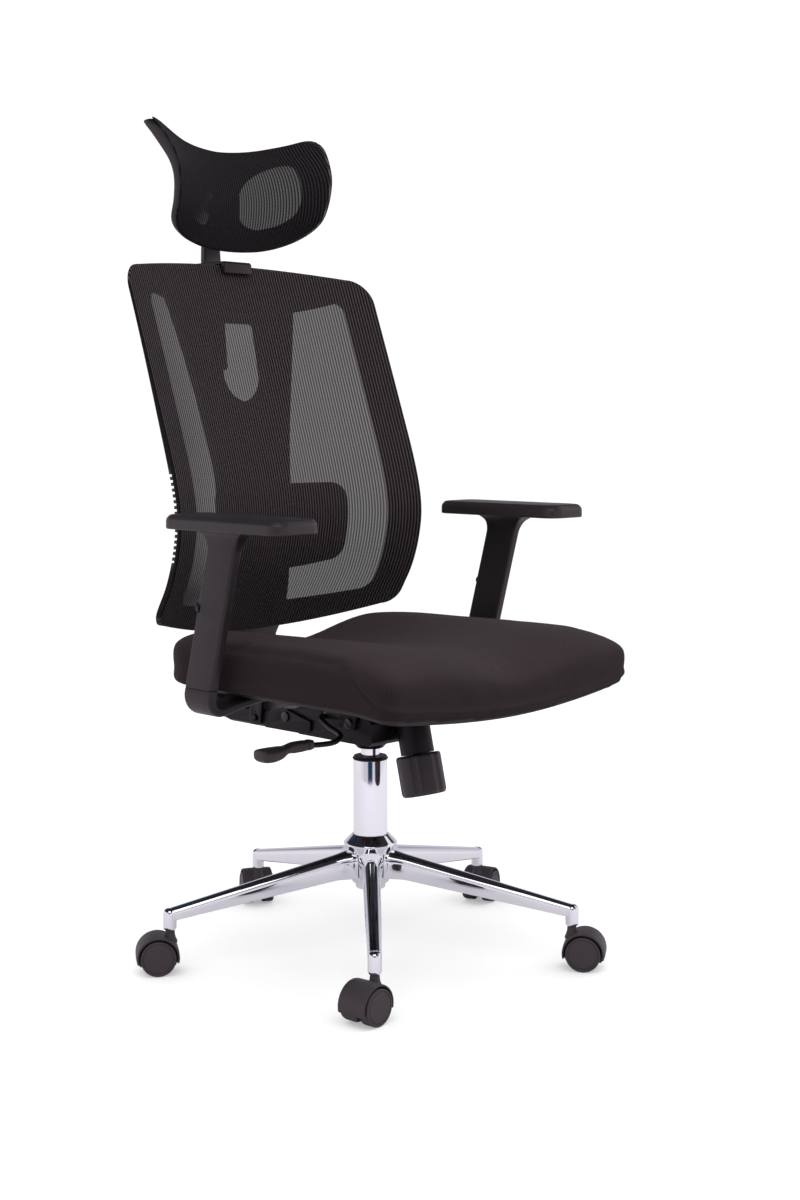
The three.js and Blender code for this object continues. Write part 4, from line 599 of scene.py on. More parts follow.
class Effects:
    """The shader node groups that several finishes share, each made once."""

    def __init__(self) -> None:
        """Builds every group."""
        self.moulded = self._moulded()
        self.handled = self._handled()
        self.knit = self._knit()
        self.woven = self._woven()

    @staticmethod
    def _moulded() -> bpy.types.NodeTree:
        """Moulded grain: fine pebbles in height, slow drifts in colour and roughness."""
        tree, n, given, out = effect(
            "moulded_grain",
            {
                "Colour": (COLOUR, (0.04, 0.04, 0.04, 1)),
                "Drift": (COLOUR, (0.05, 0.05, 0.05, 1)),
                "Roughness": (NUMBER, 0.5),
                "Grain Scale": (NUMBER, 900.0),
            },
            {"Colour": COLOUR, "Roughness": NUMBER, "Height": NUMBER},
        )
        at = n.place()
        slow = n.ramp(n.noise(at, 14.0, 3.0), 0.35, 0.68)
        fine = n.noise(at, given["Grain Scale"], 3.0)
        speck = n.ramp(fine, 0.4, 0.75)
        share = n.math("ADD", n.math("MULTIPLY", slow, 0.6), n.math("MULTIPLY", speck, 0.3))
        n.feed(out.inputs["Colour"], n.mix(share, given["Colour"], given["Drift"]))
        worn = n.math("SUBTRACT", n.noise(at, 60.0, 4.0), 0.5)
        rough = n.math("ADD", given["Roughness"], n.math("MULTIPLY", worn, 0.16))
        n.feed(out.inputs["Roughness"], n.math("MINIMUM", rough, 1.0))
        n.feed(out.inputs["Height"], fine)
        return tree

    @staticmethod
    def _handled() -> bpy.types.NodeTree:
        """Handling marks on plate and bare metal: cloudy smears in roughness and a breath of tint."""
        tree, n, given, out = effect(
            "handling_marks",
            {
                "Colour": (COLOUR, (0.9, 0.9, 0.92, 1)),
                "Tint": (COLOUR, (0.8, 0.82, 0.88, 1)),
                "Roughness": (NUMBER, 0.05),
                "Smear": (NUMBER, 0.05),
            },
            {"Colour": COLOUR, "Roughness": NUMBER, "Height": NUMBER},
        )
        at = n.place()
        cloud = n.ramp(n.noise(at, 26.0, 4.0), 0.42, 0.72)
        n.feed(out.inputs["Colour"], n.mix(n.math("MULTIPLY", cloud, 0.5), given["Colour"], given["Tint"]))
        smear = n.math("MULTIPLY", cloud, given["Smear"])
        n.feed(out.inputs["Roughness"], n.math("ADD", given["Roughness"], smear))
        n.feed(out.inputs["Height"], n.noise(at, 420.0, 2.0))
        return tree

    @staticmethod
    def _knit() -> bpy.types.NodeTree:
        """Ribbed net: upright cords a pitch apart, with a see-through net of small loops between them."""
        tree, n, given, out = effect(
            "ribbed_net",
            {
                "Cord": (COLOUR, (0.03, 0.03, 0.03, 1)),
                "Net": (COLOUR, (0.06, 0.06, 0.06, 1)),
                "Net Cover": (NUMBER, 0.7),
                "Cord Cover": (NUMBER, 0.98),
                "Fineness": (NUMBER, 1.0),
            },
            {"Colour": COLOUR, "Cover": NUMBER, "Height": NUMBER},
        )
        x, _, z = n.axes(n.place())
        x = n.math("MULTIPLY", x, given["Fineness"])
        cord = n.ramp(n.wave(x, KNIT_PITCH), 0.16, 0.7)
        loops = n.math("MULTIPLY", n.wave(x, KNIT_PITCH / 2, 0.5), n.wave(z, KNIT_LOOP))
        drift = n.ramp(n.noise(n.place(), 9.0, 3.0), 0.3, 0.7)
        between = n.math("SUBTRACT", 1.0, cord)
        hole = n.math("MULTIPLY", n.ramp(loops, 0.2, 0.8), between)
        cut = n.math("MULTIPLY", hole, n.math("ADD", 0.1, n.math("MULTIPLY", drift, 0.05)))
        cover = n.blend(cord, given["Net Cover"], given["Cord Cover"])
        n.feed(out.inputs["Cover"], n.math("SUBTRACT", cover, cut, clamp=True))
        n.feed(out.inputs["Colour"], n.mix(cord, given["Net"], given["Cord"]))
        n.feed(out.inputs["Height"], n.math("ADD", cord, n.math("MULTIPLY", loops, -0.04)))
        return tree

    @staticmethod
    def _woven() -> bpy.types.NodeTree:
        """Plain weave: crossing threads in height and shade, faint rows, and slow drifts of colour."""
        tree, n, given, out = effect(
            "plain_weave",
            {
                "Thread": (COLOUR, (0.04, 0.04, 0.04, 1)),
                "Shade": (COLOUR, (0.02, 0.02, 0.02, 1)),
                "Roughness": (NUMBER, 0.85),
            },
            {"Colour": COLOUR, "Roughness": NUMBER, "Height": NUMBER},
        )
        x, y, z = n.axes(n.place())
        run = n.math("ADD", y, n.math("MULTIPLY", z, -0.8))
        across = n.math("ADD", x, n.math("MULTIPLY", z, 0.6))
        warp = n.wave(across, WEAVE_PITCH)
        weft = n.wave(run, WEAVE_PITCH)
        over = n.math("ABSOLUTE", n.math("SUBTRACT", warp, weft))
        aside, _, _ = n.axes(n.outward())
        upward = n.math("SUBTRACT", 1.0, n.math("ABSOLUTE", aside), clamp=True)
        rows = n.math("MULTIPLY", n.wave(x, WEAVE_ROWS), upward)
        drift = n.noise(n.place(), 7.0, 4.0)
        fuzz = n.noise(n.place(), 700.0, 3.0)
        share = n.math("ADD", n.math("MULTIPLY", over, 0.34), n.math("MULTIPLY", rows, 0.3))
        share = n.math("ADD", share, n.math("MULTIPLY", drift, 0.4), clamp=True)
        n.feed(out.inputs["Colour"], n.mix(share, given["Shade"], given["Thread"]))
        n.feed(out.inputs["Roughness"], n.math("ADD", given["Roughness"], n.math("MULTIPLY", fuzz, 0.1)))
        height = n.math("ADD", over, n.math("MULTIPLY", rows, 0.5))
        n.feed(out.inputs["Height"], n.math("ADD", height, n.math("MULTIPLY", fuzz, 0.4)))
        return tree


KNIT_PITCH = 0.0053
KNIT_LOOP = 0.0022
WEAVE_PITCH = 0.0016
WEAVE_ROWS = 0.0042
RGBA = tuple[float, float, float, float]


# ---- finishes ----


@dataclass(frozen=True)
class Finish:
    """A surface finish: a shared effect and the plain values of its shader.

    Attributes:
        name: the material's name.
        slot: the record's material slot.
        group: which of the shared effects it uses.
        given: the effect's inputs.
        shader: constants set on the shader's own sockets.
        relief: depth of the effect's height, in metres.
        covered: whether the effect's cover sets how much shows through.
        slant: the slants between which a covered surface closes as it is seen more edge-on.
    """

    name: str
    slot: str
    group: str
    given: dict[str, Any]
    shader: dict[str, Any] = field(default_factory=dict)
    relief: float = 0.0
    covered: bool = False
    slant: tuple[float, float] = (0.36, 0.66)

    def material(self, effects: Effects) -> bpy.types.Material:
        """Builds the material.

        Args:
            effects: the shared shader node groups.

        Returns:
            The material, ready to put on a piece.
        """
        made = bpy.data.materials.new(self.name)
        made.use_nodes = True
        nodes = Nodes(made.node_tree)
        shader = made.node_tree.nodes["Principled BSDF"]
        for label, value in self.shader.items():
            shader.inputs[label].default_value = value
        look = nodes.new("ShaderNodeGroup", node_tree=getattr(effects, self.group))
        for label, value in self.given.items():
            look.inputs[label].default_value = value
        nodes.feed(shader.inputs["Base Color"], look.outputs["Colour"])
        if "Roughness" in look.outputs:
            nodes.feed(shader.inputs["Roughness"], look.outputs["Roughness"])
        if self.covered:
            slant = nodes.new("ShaderNodeLayerWeight")
            slant.inputs["Blend"].default_value = 0.5
            closed = nodes.ramp(slant.outputs["Facing"], *self.slant)
            nodes.feed(shader.inputs["Alpha"], nodes.blend(closed, look.outputs["Cover"], 1.0))
        if self.relief:
            bump = nodes.new("ShaderNodeBump")
            bump.inputs["Distance"].default_value = self.relief
            bump.inputs["Strength"].default_value = 1.0
            nodes.feed(bump.inputs["Height"], look.outputs["Height"])
            nodes.feed(shader.inputs["Normal"], bump.outputs["Normal"])
        return made


def grey(level: float, warm: float = 0.2) -> RGBA:
    """A linear grey with a breath of warmth: red a little above green, blue between them."""
    return (level * (1 + warm), level, level * (1 + warm / 2), 1.0)


WARM_GLOSS = {"Specular Tint": (1.0, 0.86, 0.93, 1.0)}


def moulding(
    name: str, slot: str, level: float, drift: float, roughness: float, grain: float, relief: float, gloss: float = 0.5
) -> Finish:
    """A dark grained finish.

    Args:
        name: the material's name.
        slot: the record's material slot.
        level: the grey that it starts from.
        drift: the grey that it drifts to.
        roughness: the middle roughness.
        grain: how fine its pebbles are.
        relief: their depth, in metres.
        gloss: strength of the gloss; 0.5 is a plain plastic's.

    Returns:
        The finish.
    """
    given = {"Colour": grey(level), "Drift": grey(drift), "Roughness": roughness, "Grain Scale": grain}
    return Finish(name, slot, "moulded", given, {"Specular IOR Level": gloss, **WARM_GLOSS}, relief)


CHROME = Finish(
    "chrome_plate",
    "chrome",
    "handled",
    {"Colour": (0.93, 0.935, 0.95, 1), "Tint": (0.88, 0.9, 0.95, 1), "Roughness": 0.03, "Smear": 0.05},
    {"Metallic": 1.0},
    relief=0.000004,
)
STEEL = Finish(
    "bare_steel",
    "steel",
    "handled",
    {"Colour": (0.52, 0.53, 0.55, 1), "Tint": (0.4, 0.4, 0.42, 1), "Roughness": 0.26, "Smear": 0.16},
    {"Metallic": 1.0},
    relief=0.00001,
)
POWDER = moulding("black_powder_coat", "black_steel", 0.004, 0.006, 0.42, 1400.0, 0.00003, gloss=0.24)
SATIN_BLACK = moulding("satin_black_steel", "black_steel", 0.02, 0.026, 0.34, 1400.0, 0.00002)
BLACKENED = Finish(
    "blackened_pin",
    "steel",
    "handled",
    {"Colour": (0.012, 0.0115, 0.012, 1), "Tint": (0.02, 0.019, 0.02, 1), "Roughness": 0.3, "Smear": 0.2},
    relief=0.00001,
)
MOULDED = moulding("black_moulding", "black_plastic", 0.006, 0.009, 0.46, 1100.0, 0.00003, gloss=0.4)
NYLON = moulding("castor_nylon", "castor_plastic", 0.03, 0.037, 0.5, 1100.0, 0.00003)
ARM_PLASTIC = moulding("armrest_moulding", "soft_plastic", 0.011, 0.015, 0.44, 1300.0, 0.00003, gloss=0.4)
GRIP_PLASTIC = moulding("grip_moulding", "black_plastic", 0.018, 0.023, 0.42, 1200.0, 0.00003)
PAD_PLASTIC = moulding("armrest_pad", "soft_plastic", 0.015, 0.02, 0.4, 1500.0, 0.00004)
SEAT_CLOTH = Finish(
    "seat_cloth",
    "seat_fabric",
    "woven",
    {"Thread": (0.038, 0.0275, 0.03, 1), "Shade": (0.0115, 0.008, 0.0088, 1), "Roughness": 0.82},
    {"Sheen Weight": 0.06, "Sheen Tint": (1.0, 0.81, 0.86, 1.0), "Specular IOR Level": 0.12, **WARM_GLOSS},
    relief=0.00012,
)
NET = Finish(
    "ribbed_mesh",
    "mesh_cloth",
    "knit",
    {
        "Cord": grey(0.0025),
        "Net": (0.062, 0.049, 0.055, 1),
        "Net Cover": 0.88,
        "Cord Cover": 0.95,
        "Fineness": 1.08,
    },
    {"Roughness": 0.7, "Specular IOR Level": 0.1, "Sheen Weight": 0.02, **WARM_GLOSS},
    relief=0.0003,
    covered=True,
)
# The headrest's net: a closer knit than the back's, and darker. Its darker Net and Cord colours are partly the net's
# own and partly painted shade.
HEAD_NET_PAINTED_SHADE = Finish(
    "close_ribbed_mesh_painted_shade",
    "mesh_cloth",
    "knit",
    {
        "Cord": grey(0.001),
        "Net": (0.019, 0.015, 0.019, 1),
        "Net Cover": 0.945,
        "Cord Cover": 0.985,
        "Fineness": 1.17,
    },
    {"Roughness": 0.7, "Specular IOR Level": 0.12, "Sheen Weight": 0.02, **WARM_GLOSS},
    relief=0.0003,
    covered=True,
    slant=(0.24, 0.48),
)


class Workshop:
    """Dresses pieces: gives each its material and the body that it rides on."""

    def __init__(self) -> None:
        """Builds the shared effects; materials are made as they are first asked for."""
        self.effects = Effects()
        self.made: dict[str, bpy.types.Material] = {}

    def material(self, finish: Finish) -> bpy.types.Material:
        """The finish's material, built once."""
        if finish.name not in self.made:
            self.made[finish.name] = finish.material(self.effects)
        return self.made[finish.name]

    def dress(self, piece: bpy.types.Object, finish: Finish, body: str, *stands_for: str) -> bpy.types.Object:
        """Finishes a new piece.

        Args:
            piece: the mesh object.
            finish: its finish.
            body: the CAD body that it moves with.
            *stands_for: the CAD nodes that it replaces.

        Returns:
            The piece.
        """
        piece.data.materials.clear()
        piece.data.materials.append(self.material(finish))
        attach(piece, body)
        if stands_for:
            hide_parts(*stands_for)
        log.info("%s rides on %s in %s", piece.name, body, finish.name)
        return piece

    def paint(self, node: str, finish: Finish) -> None:
        """Gives a CAD node that stays its own finish."""
        mesh = frame["nodes"][node].data
        mesh.materials.clear()
        mesh.materials.append(self.material(finish))
        log.info("%s keeps its solid in %s", node, finish.name)


# ---- base, castors and lift ----


def body_of(node: str) -> str:
    """The body that a CAD node belongs to."""
    for name, nodes in frame["record"]["behaviour"]["bodies"].items():
        if node in nodes:
            return name
    raise KeyError(node)


@dataclass
class StarBase:
    """The five chromed spokes, their hub, the stand tube and its collar."""

    spokes: int = 5
    first_deg: float = -133.5
    reach: float = 300.0
    root: tuple[float, float] = (28.0, 38.0)
    tip: tuple[float, float] = (18.6, 18.0)
    root_top: float = 152.0
    socket: tuple[float, float] = (60.3, 91.3)
    hub: tuple[float, float] = (103.0, 175.5)
    body_radius: float = 32.0
    flange_radius: float = 39.5
    tube_radius: float = 25.0
    tube_foot_radius: float = 21.5
    tube: tuple[float, float] = (95.0, 286.0)

    def spoke(self) -> Array:
        """One spoke along +X: from hub to socket its section narrows; each is an arch on upright sides.

        Returns:
            The spoke's rings.
        """
        near = np.linspace(self.body_radius - 12, self.body_radius + 28, 24)
        x = np.concatenate([near, np.linspace(63, self.reach, 50)])
        t = np.clip((x - self.body_radius) / (self.reach - self.body_radius), 0, 1)
        flare = 4.0 * (1 - smoothstep(x, self.body_radius - 4, self.body_radius + 26))
        half = lerp(self.root[0], self.tip[0], t) / 2 + flare
        top = lerp(self.root_top, self.socket[1], t) + flare * 0.3
        bottom = top - lerp(self.root[1], self.tip[1], t) - flare
        rise = np.radians(np.linspace(0, 180, 41))
        crown = np.minimum(half * 0.95, (top - bottom) * 0.45)
        arch_y = half[:, None] * np.cos(rise) * np.abs(np.cos(rise)) ** -0.12
        arch_z = (top - crown)[:, None] + crown[:, None] * np.sin(rise) ** 0.9
        foot = np.radians(np.linspace(180, 360, 13))
        belly = 2.6
        low_y = half[:, None] * 0.9 * np.cos(foot) * np.abs(np.cos(foot)) ** -0.6
        low_z = (bottom + belly)[:, None] + belly * np.sin(foot)
        y = np.concatenate([np.nan_to_num(arch_y), np.nan_to_num(low_y)], 1)
        z = np.concatenate([arch_z, low_z], 1)
        return np.stack([x[:, None] + 0 * y, y, z], -1)

    def build(self, shop: Workshop) -> None:
        """Makes and dresses the base, the tube and the collar."""
        shell = Shell()
        r = self.tip[0] / 2
        low, high = self.socket
        socket = filleted([(0.1, low), (r, low), (r, high - 3.2), (r * 0.5, high + 0.2), (0.1, high + 0.4)], 5.0, 6)
        for i in range(self.spokes):
            turn = self.first_deg + 360 / self.spokes * i
            shell.solid(turn_about_z(self.spoke(), turn))
            shell.solid(turn_about_z(turned(socket, 32) + [self.reach, 0, 0], turn))
        hub_low, hub_high = self.hub
        hub = filleted(
            [
                (self.tube_foot_radius + 0.4, hub_low),
                (self.tube_foot_radius + 5, hub_low),
                (self.body_radius - 2.5, hub_low + 9),
                (self.body_radius, self.root_top - 2),
                (self.flange_radius, hub_high - 14.5),
                (self.flange_radius - 0.8, hub_high - 12),
                (self.tube_radius + 1.9, hub_high),
                (self.tube_radius + 0.3, hub_high),
            ],
            2.2,
            5,
        )
        shell.grid(turned(hub, 80))
        shop.dress(shell.piece("five_star_base", sharp_deg=50), CHROME, "base", "star_base")
        self.build_tube(shop)

    def build_tube(self, shop: Workshop) -> None:
        """The stand tube with its rolled top and the guide bush's collar."""
        low, high = self.tube
        outer = filleted(
            [
                (4.6, low),
                (self.tube_foot_radius, low),
                (self.tube_radius, self.hub[1]),
                (self.tube_radius, high),
                (self.tube_radius - 2, high),
                (self.tube_radius - 2, self.hub[1]),
                (self.tube_foot_radius - 2, low + 4),
                (4.6, low + 4),
            ],
            0.9,
            4,
            closed=True,
        )
        tube = Shell().grid(turned(outer, 72), looped=True)
        shop.dress(tube.piece("stand_tube", sharp_deg=50), CHROME, "base", "outer_tube")
        collar = filleted(
            [
                (14.3, high - 84.7),
                (22.7, high - 84.7),
                (22.7, high + 0.3),
                (26.0, high + 0.3),
                (26.2, high + 2.0),
                (24.6, high + 2.6),
                (24.2, high + 5.0),
                (14.3, high + 5.0),
            ],
            0.6,
            3,
            closed=True,
        )
        bush = Shell().grid(turned(collar, 72), looped=True)
        shop.dress(bush.piece("guide_bush_collar", sharp_deg=50), MOULDED, "base", "guide_bush")


@dataclass
class Castor:
    """One twin-wheel castor: a rounded hood, a stem and two dished wheels."""

    number: int
    heading_deg: float
    stem: Vector
    trail: float = 18.0
    wheel_radius: float = 25.0
    web: float = 7.5
    wheel_width: float = 17.0
    hood_radius: float = 30.5
    neck_top: float = 60.0

    def place(self, points: Array) -> Array:
        """Castor's own frame, with the stem axis at its origin and the wheels towards +X, to the chair's."""
        at = np.array([self.stem.x, self.stem.y, 0]) - AXIS
        return turn_about_z(points, self.heading_deg) + at / MM

    def hood(self) -> Shell:
        """The hood: a rounded wall section carried round the wheel's axis, the web and the neck."""
        half = self.web + 0.3 + self.wheel_width - 2
        wall = filleted(
            [
                (self.hood_radius - 3.4, -half),
                (self.hood_radius - 0.4, -half),
                (self.hood_radius + 0.2, 0),
                (self.hood_radius - 0.4, half),
                (self.hood_radius - 3.4, half),
            ],
            3.2,
            6,
            closed=True,
        )
        turn = np.radians(np.linspace(-14, 194, 64))[:, None]
        x = self.trail + wall[:, 0] * np.cos(turn)
        z = self.wheel_radius + wall[:, 0] * np.sin(turn)
        made = Shell().solid(np.stack([x, wall[:, 1] + 0 * turn, z], -1))
        rim = np.radians(np.linspace(0, 360, 48, endpoint=False))
        web = self.hood_radius - 1.7
        ring = np.stack([self.trail + web * np.cos(rim), 0 * rim, self.wheel_radius + web * np.sin(rim)], -1)
        ring[:, 2] = np.maximum(ring[:, 2], self.wheel_radius - web * 0.5)
        made.solid(np.stack([ring + [0, y, 0] for y in (-self.web, self.web)]))
        foot, top = self.wheel_radius + 15, self.neck_top
        neck = filleted([(4.3, foot), (11.5, foot + 2), (6.9, 52), (6.6, top), (4.3, top)], 6, 6, closed=True)
        return made.grid(turned(neck, 40), looped=True).moved(self.place)

    def wheel(self, side: int) -> Shell:
        """A wheel: a profile with a rounded tread, a groove and a dished face, turned about the axle.

        Args:
            side: 1 for the +Y side of the castor, -1 for the other.

        Returns:
            The wheel's shell.
        """
        inner = self.web + 0.3
        outer = inner + self.wheel_width
        r = self.wheel_radius
        profile = filleted(
            [
                (3.8, inner),
                (r, inner),
                (r, outer - 0.6),
                (r - 2.6, outer),
                (r - 3.4, outer - 1.4),
                (r - 4.6, outer - 1.2),
                (r - 5.6, outer - 0.3),
                (0.05, outer - 0.2),
                (0.05, outer - 2.4),
                (3.8, outer - 2.4),
            ],
            1.5,
            5,
            closed=True,
        )
        p = turned(profile, 64)
        p = np.stack([p[..., 0] + self.trail, side * p[..., 2], p[..., 1] + r], -1)
        return Shell().grid(p, looped=True).moved(self.place)

    def build(self, shop: Workshop) -> None:
        """Makes and dresses the castor's pieces."""
        n = self.number
        shop.dress(self.hood().piece(f"castor_cover_{n}"), NYLON, f"castor_{n}", f"castor_hood_{n}")
        for side, name in ((1, "left"), (-1, "right")):
            wheel = self.wheel(side).piece(f"castor_wheel_{name}_{n}")
            shop.dress(wheel, NYLON, f"wheel_{name}_{n}", f"wheel_{name}_{n}")
        shop.paint(f"castor_stem_{n}", STEEL)


@dataclass
class Mechanism:
    """The tilt mechanism's castings and pressings, with their corners broken, and the gas lift in it."""

    casting_edge: float = 1.0
    pin_edge: float = 0.6
    lift: tuple[float, float, float] = (113.0, 298.0, 338.0)
    lift_radius: tuple[float, float] = (14.0, 13.2)

    def build(self, shop: Workshop) -> None:
        """Dresses the mechanism's nodes on their bodies."""
        for node in ("mechanism_housing", "seat_plate", "back_bar"):
            shop.dress(softened(node, self.casting_edge), POWDER, body_of(node), node)
        for node, finish in (("front_pin", BLACKENED), ("main_pin", BLACKENED), ("lever_yoke", POWDER)):
            shop.dress(softened(node, self.pin_edge), finish, body_of(node), node)
        for node in ("piston_rod", "thrust_bearing", "retaining_clip", "tension_spring", "headrest_pin"):
            shop.paint(node, STEEL)
        shop.paint("release_button", POWDER)
        (foot, shoulder, head), (wide, narrow) = self.lift, self.lift_radius
        lift = filleted([(0.1, foot), (wide, foot), (wide, shoulder), (narrow, head), (0.1, head)], 1.2, 3)
        made = Shell().solid(turned(lift, 64)).piece("lift_cylinder", sharp_deg=50)
        shop.dress(made, CHROME, "carriage", "gas_cylinder")


@dataclass
class TensionKnob:
    """The knob under the front of the seat, its bolt and the sleeve round its spring."""

    lean_deg: float = 13.7
    y: float = -110.0
    z: float = 249.0
    radius: float = 32.0
    height: float = 58.0
    sleeve_radius: float = 24.0
    sleeve: tuple[float, float] = (59.0, 105.0)

    def place(self, points: Array) -> Array:
        """The knob's own upright frame to its leaning axis."""
        c, s = math.cos(math.radians(self.lean_deg)), math.sin(math.radians(self.lean_deg))
        return points @ np.array([[1, 0, 0], [0, c, -s], [0, s, c]]) + [0, self.y, self.z]

    def build(self, shop: Workshop) -> None:
        """Makes and dresses the knob and the sleeve."""
        r, h = self.radius, self.height
        rim = [(0.1, 1.5), (r - 6, 1.5), (r - 5, 0), (r - 2.5, 0), (r, 4), (r, h - 2.5), (r - 2, h)]
        p = turned(filleted([*rim, (6, h), (5, h), (5, 106), (0.1, 108)], 2.0, 5), 144)
        angle = np.arctan2(p[..., 1], p[..., 0])
        lobe = np.clip((np.cos(6 * angle) + 0.86) / 0.3, 0, 1)
        grip = smoothstep(np.hypot(p[..., 0], p[..., 1]), r - 8, r) * smoothstep(p[..., 2], -2, 4)
        p[..., :2] *= (1 - 0.045 * (1 - lobe) * grip)[..., None]
        knob = Shell().solid(p).moved(self.place)
        shop.dress(knob.piece("tension_grip", sharp_deg=50), GRIP_PLASTIC, "knob", "tension_knob")
        low, high = self.sleeve
        r = self.sleeve_radius
        wall = filleted([(r - 3, low), (r, low), (r, high + 4), (r - 3, high + 4)], 0.8, 3, closed=True)
        sleeve = Shell().grid(turned(wall, 64), looped=True).moved(self.place)
        sleeve.box([-9, -98, 326], [9, -64, 348], 1.5)
        shop.dress(sleeve.piece("spring_sleeve", sharp_deg=50), POWDER, "carriage", "tension_sleeve")


@dataclass
class Lever:
    """The height and tilt lever: a cranked rod and a flat paddle with a waist."""

    root: tuple[float, float, float] = (-12.0, 37.0, 351.0)
    paddle_root: float = -152.0
    paddle_tip: float = -248.0
    squareness: float = 0.64
    y: float = -40.0
    z: float = 332.0

    def build(self, shop: Workshop) -> None:
        """Makes and dresses the rod and the paddle."""
        x0, y0, z0 = self.root
        path = through(
            [
                (x0, y0, z0),
                (-40, y0, z0),
                (-64, y0 - 1, z0 - 1),
                (-79, y0 - 32, z0 - 8),
                (-92, y0 - 71, z0 - 15),
                (-112, self.y - 1, self.z - 2),
                (self.paddle_root - 10, self.y, self.z),
            ],
            90,
        )
        rod = Shell().solid(swept(path, 3.9, 20))
        shop.dress(rod.piece("lever_arm", sharp_deg=50), POWDER, "lever_handle", "lever_rod")
        stations = np.array(
            [
                (0.0, 4.2, 4.2, 0.0),
                (0.012, 6.4, 6.4, 0.0),
                (0.1, 7.2, 7.4, 0.0),
                (0.115, 5.8, 6.0, 0.0),
                (0.13, 7.4, 7.2, 0.0),
                (0.36, 8.2, 7.6, 0.0),
                (0.47, 8.0, 6.2, -0.5),
                (0.53, 9.0, 6.0, -1.5),
                (0.64, 12.4, 8.4, -3.5),
                (0.8, 14.8, 9.6, -4.5),
                (0.93, 14.4, 9.2, -4.2),
                (0.985, 13.0, 7.8, -3.2),
                (1.0, 10.5, 5.5, -2.0),
            ]
        )
        t = np.concatenate([np.linspace(0, 0.14, 22), np.linspace(0.16, 1, 60)])
        half_y, half_z, sag = (column[:, None] for column in columns(stations, t))
        angle = np.linspace(0, TAU, 36, endpoint=False)
        c, s = (np.sign(wave) * np.abs(wave) ** self.squareness for wave in (np.cos(angle), np.sin(angle)))
        x = lerp(self.paddle_root, self.paddle_tip, t)[:, None] + 0 * angle
        y = self.y + half_y * c
        z = self.z + 1 + sag + half_z * s
        paddle = Shell().solid(np.stack([x, y, z], -1))
        shop.dress(paddle.piece("lever_grip", sharp_deg=50), GRIP_PLASTIC, "lever_handle", "lever_paddle")


# ---- seat ----


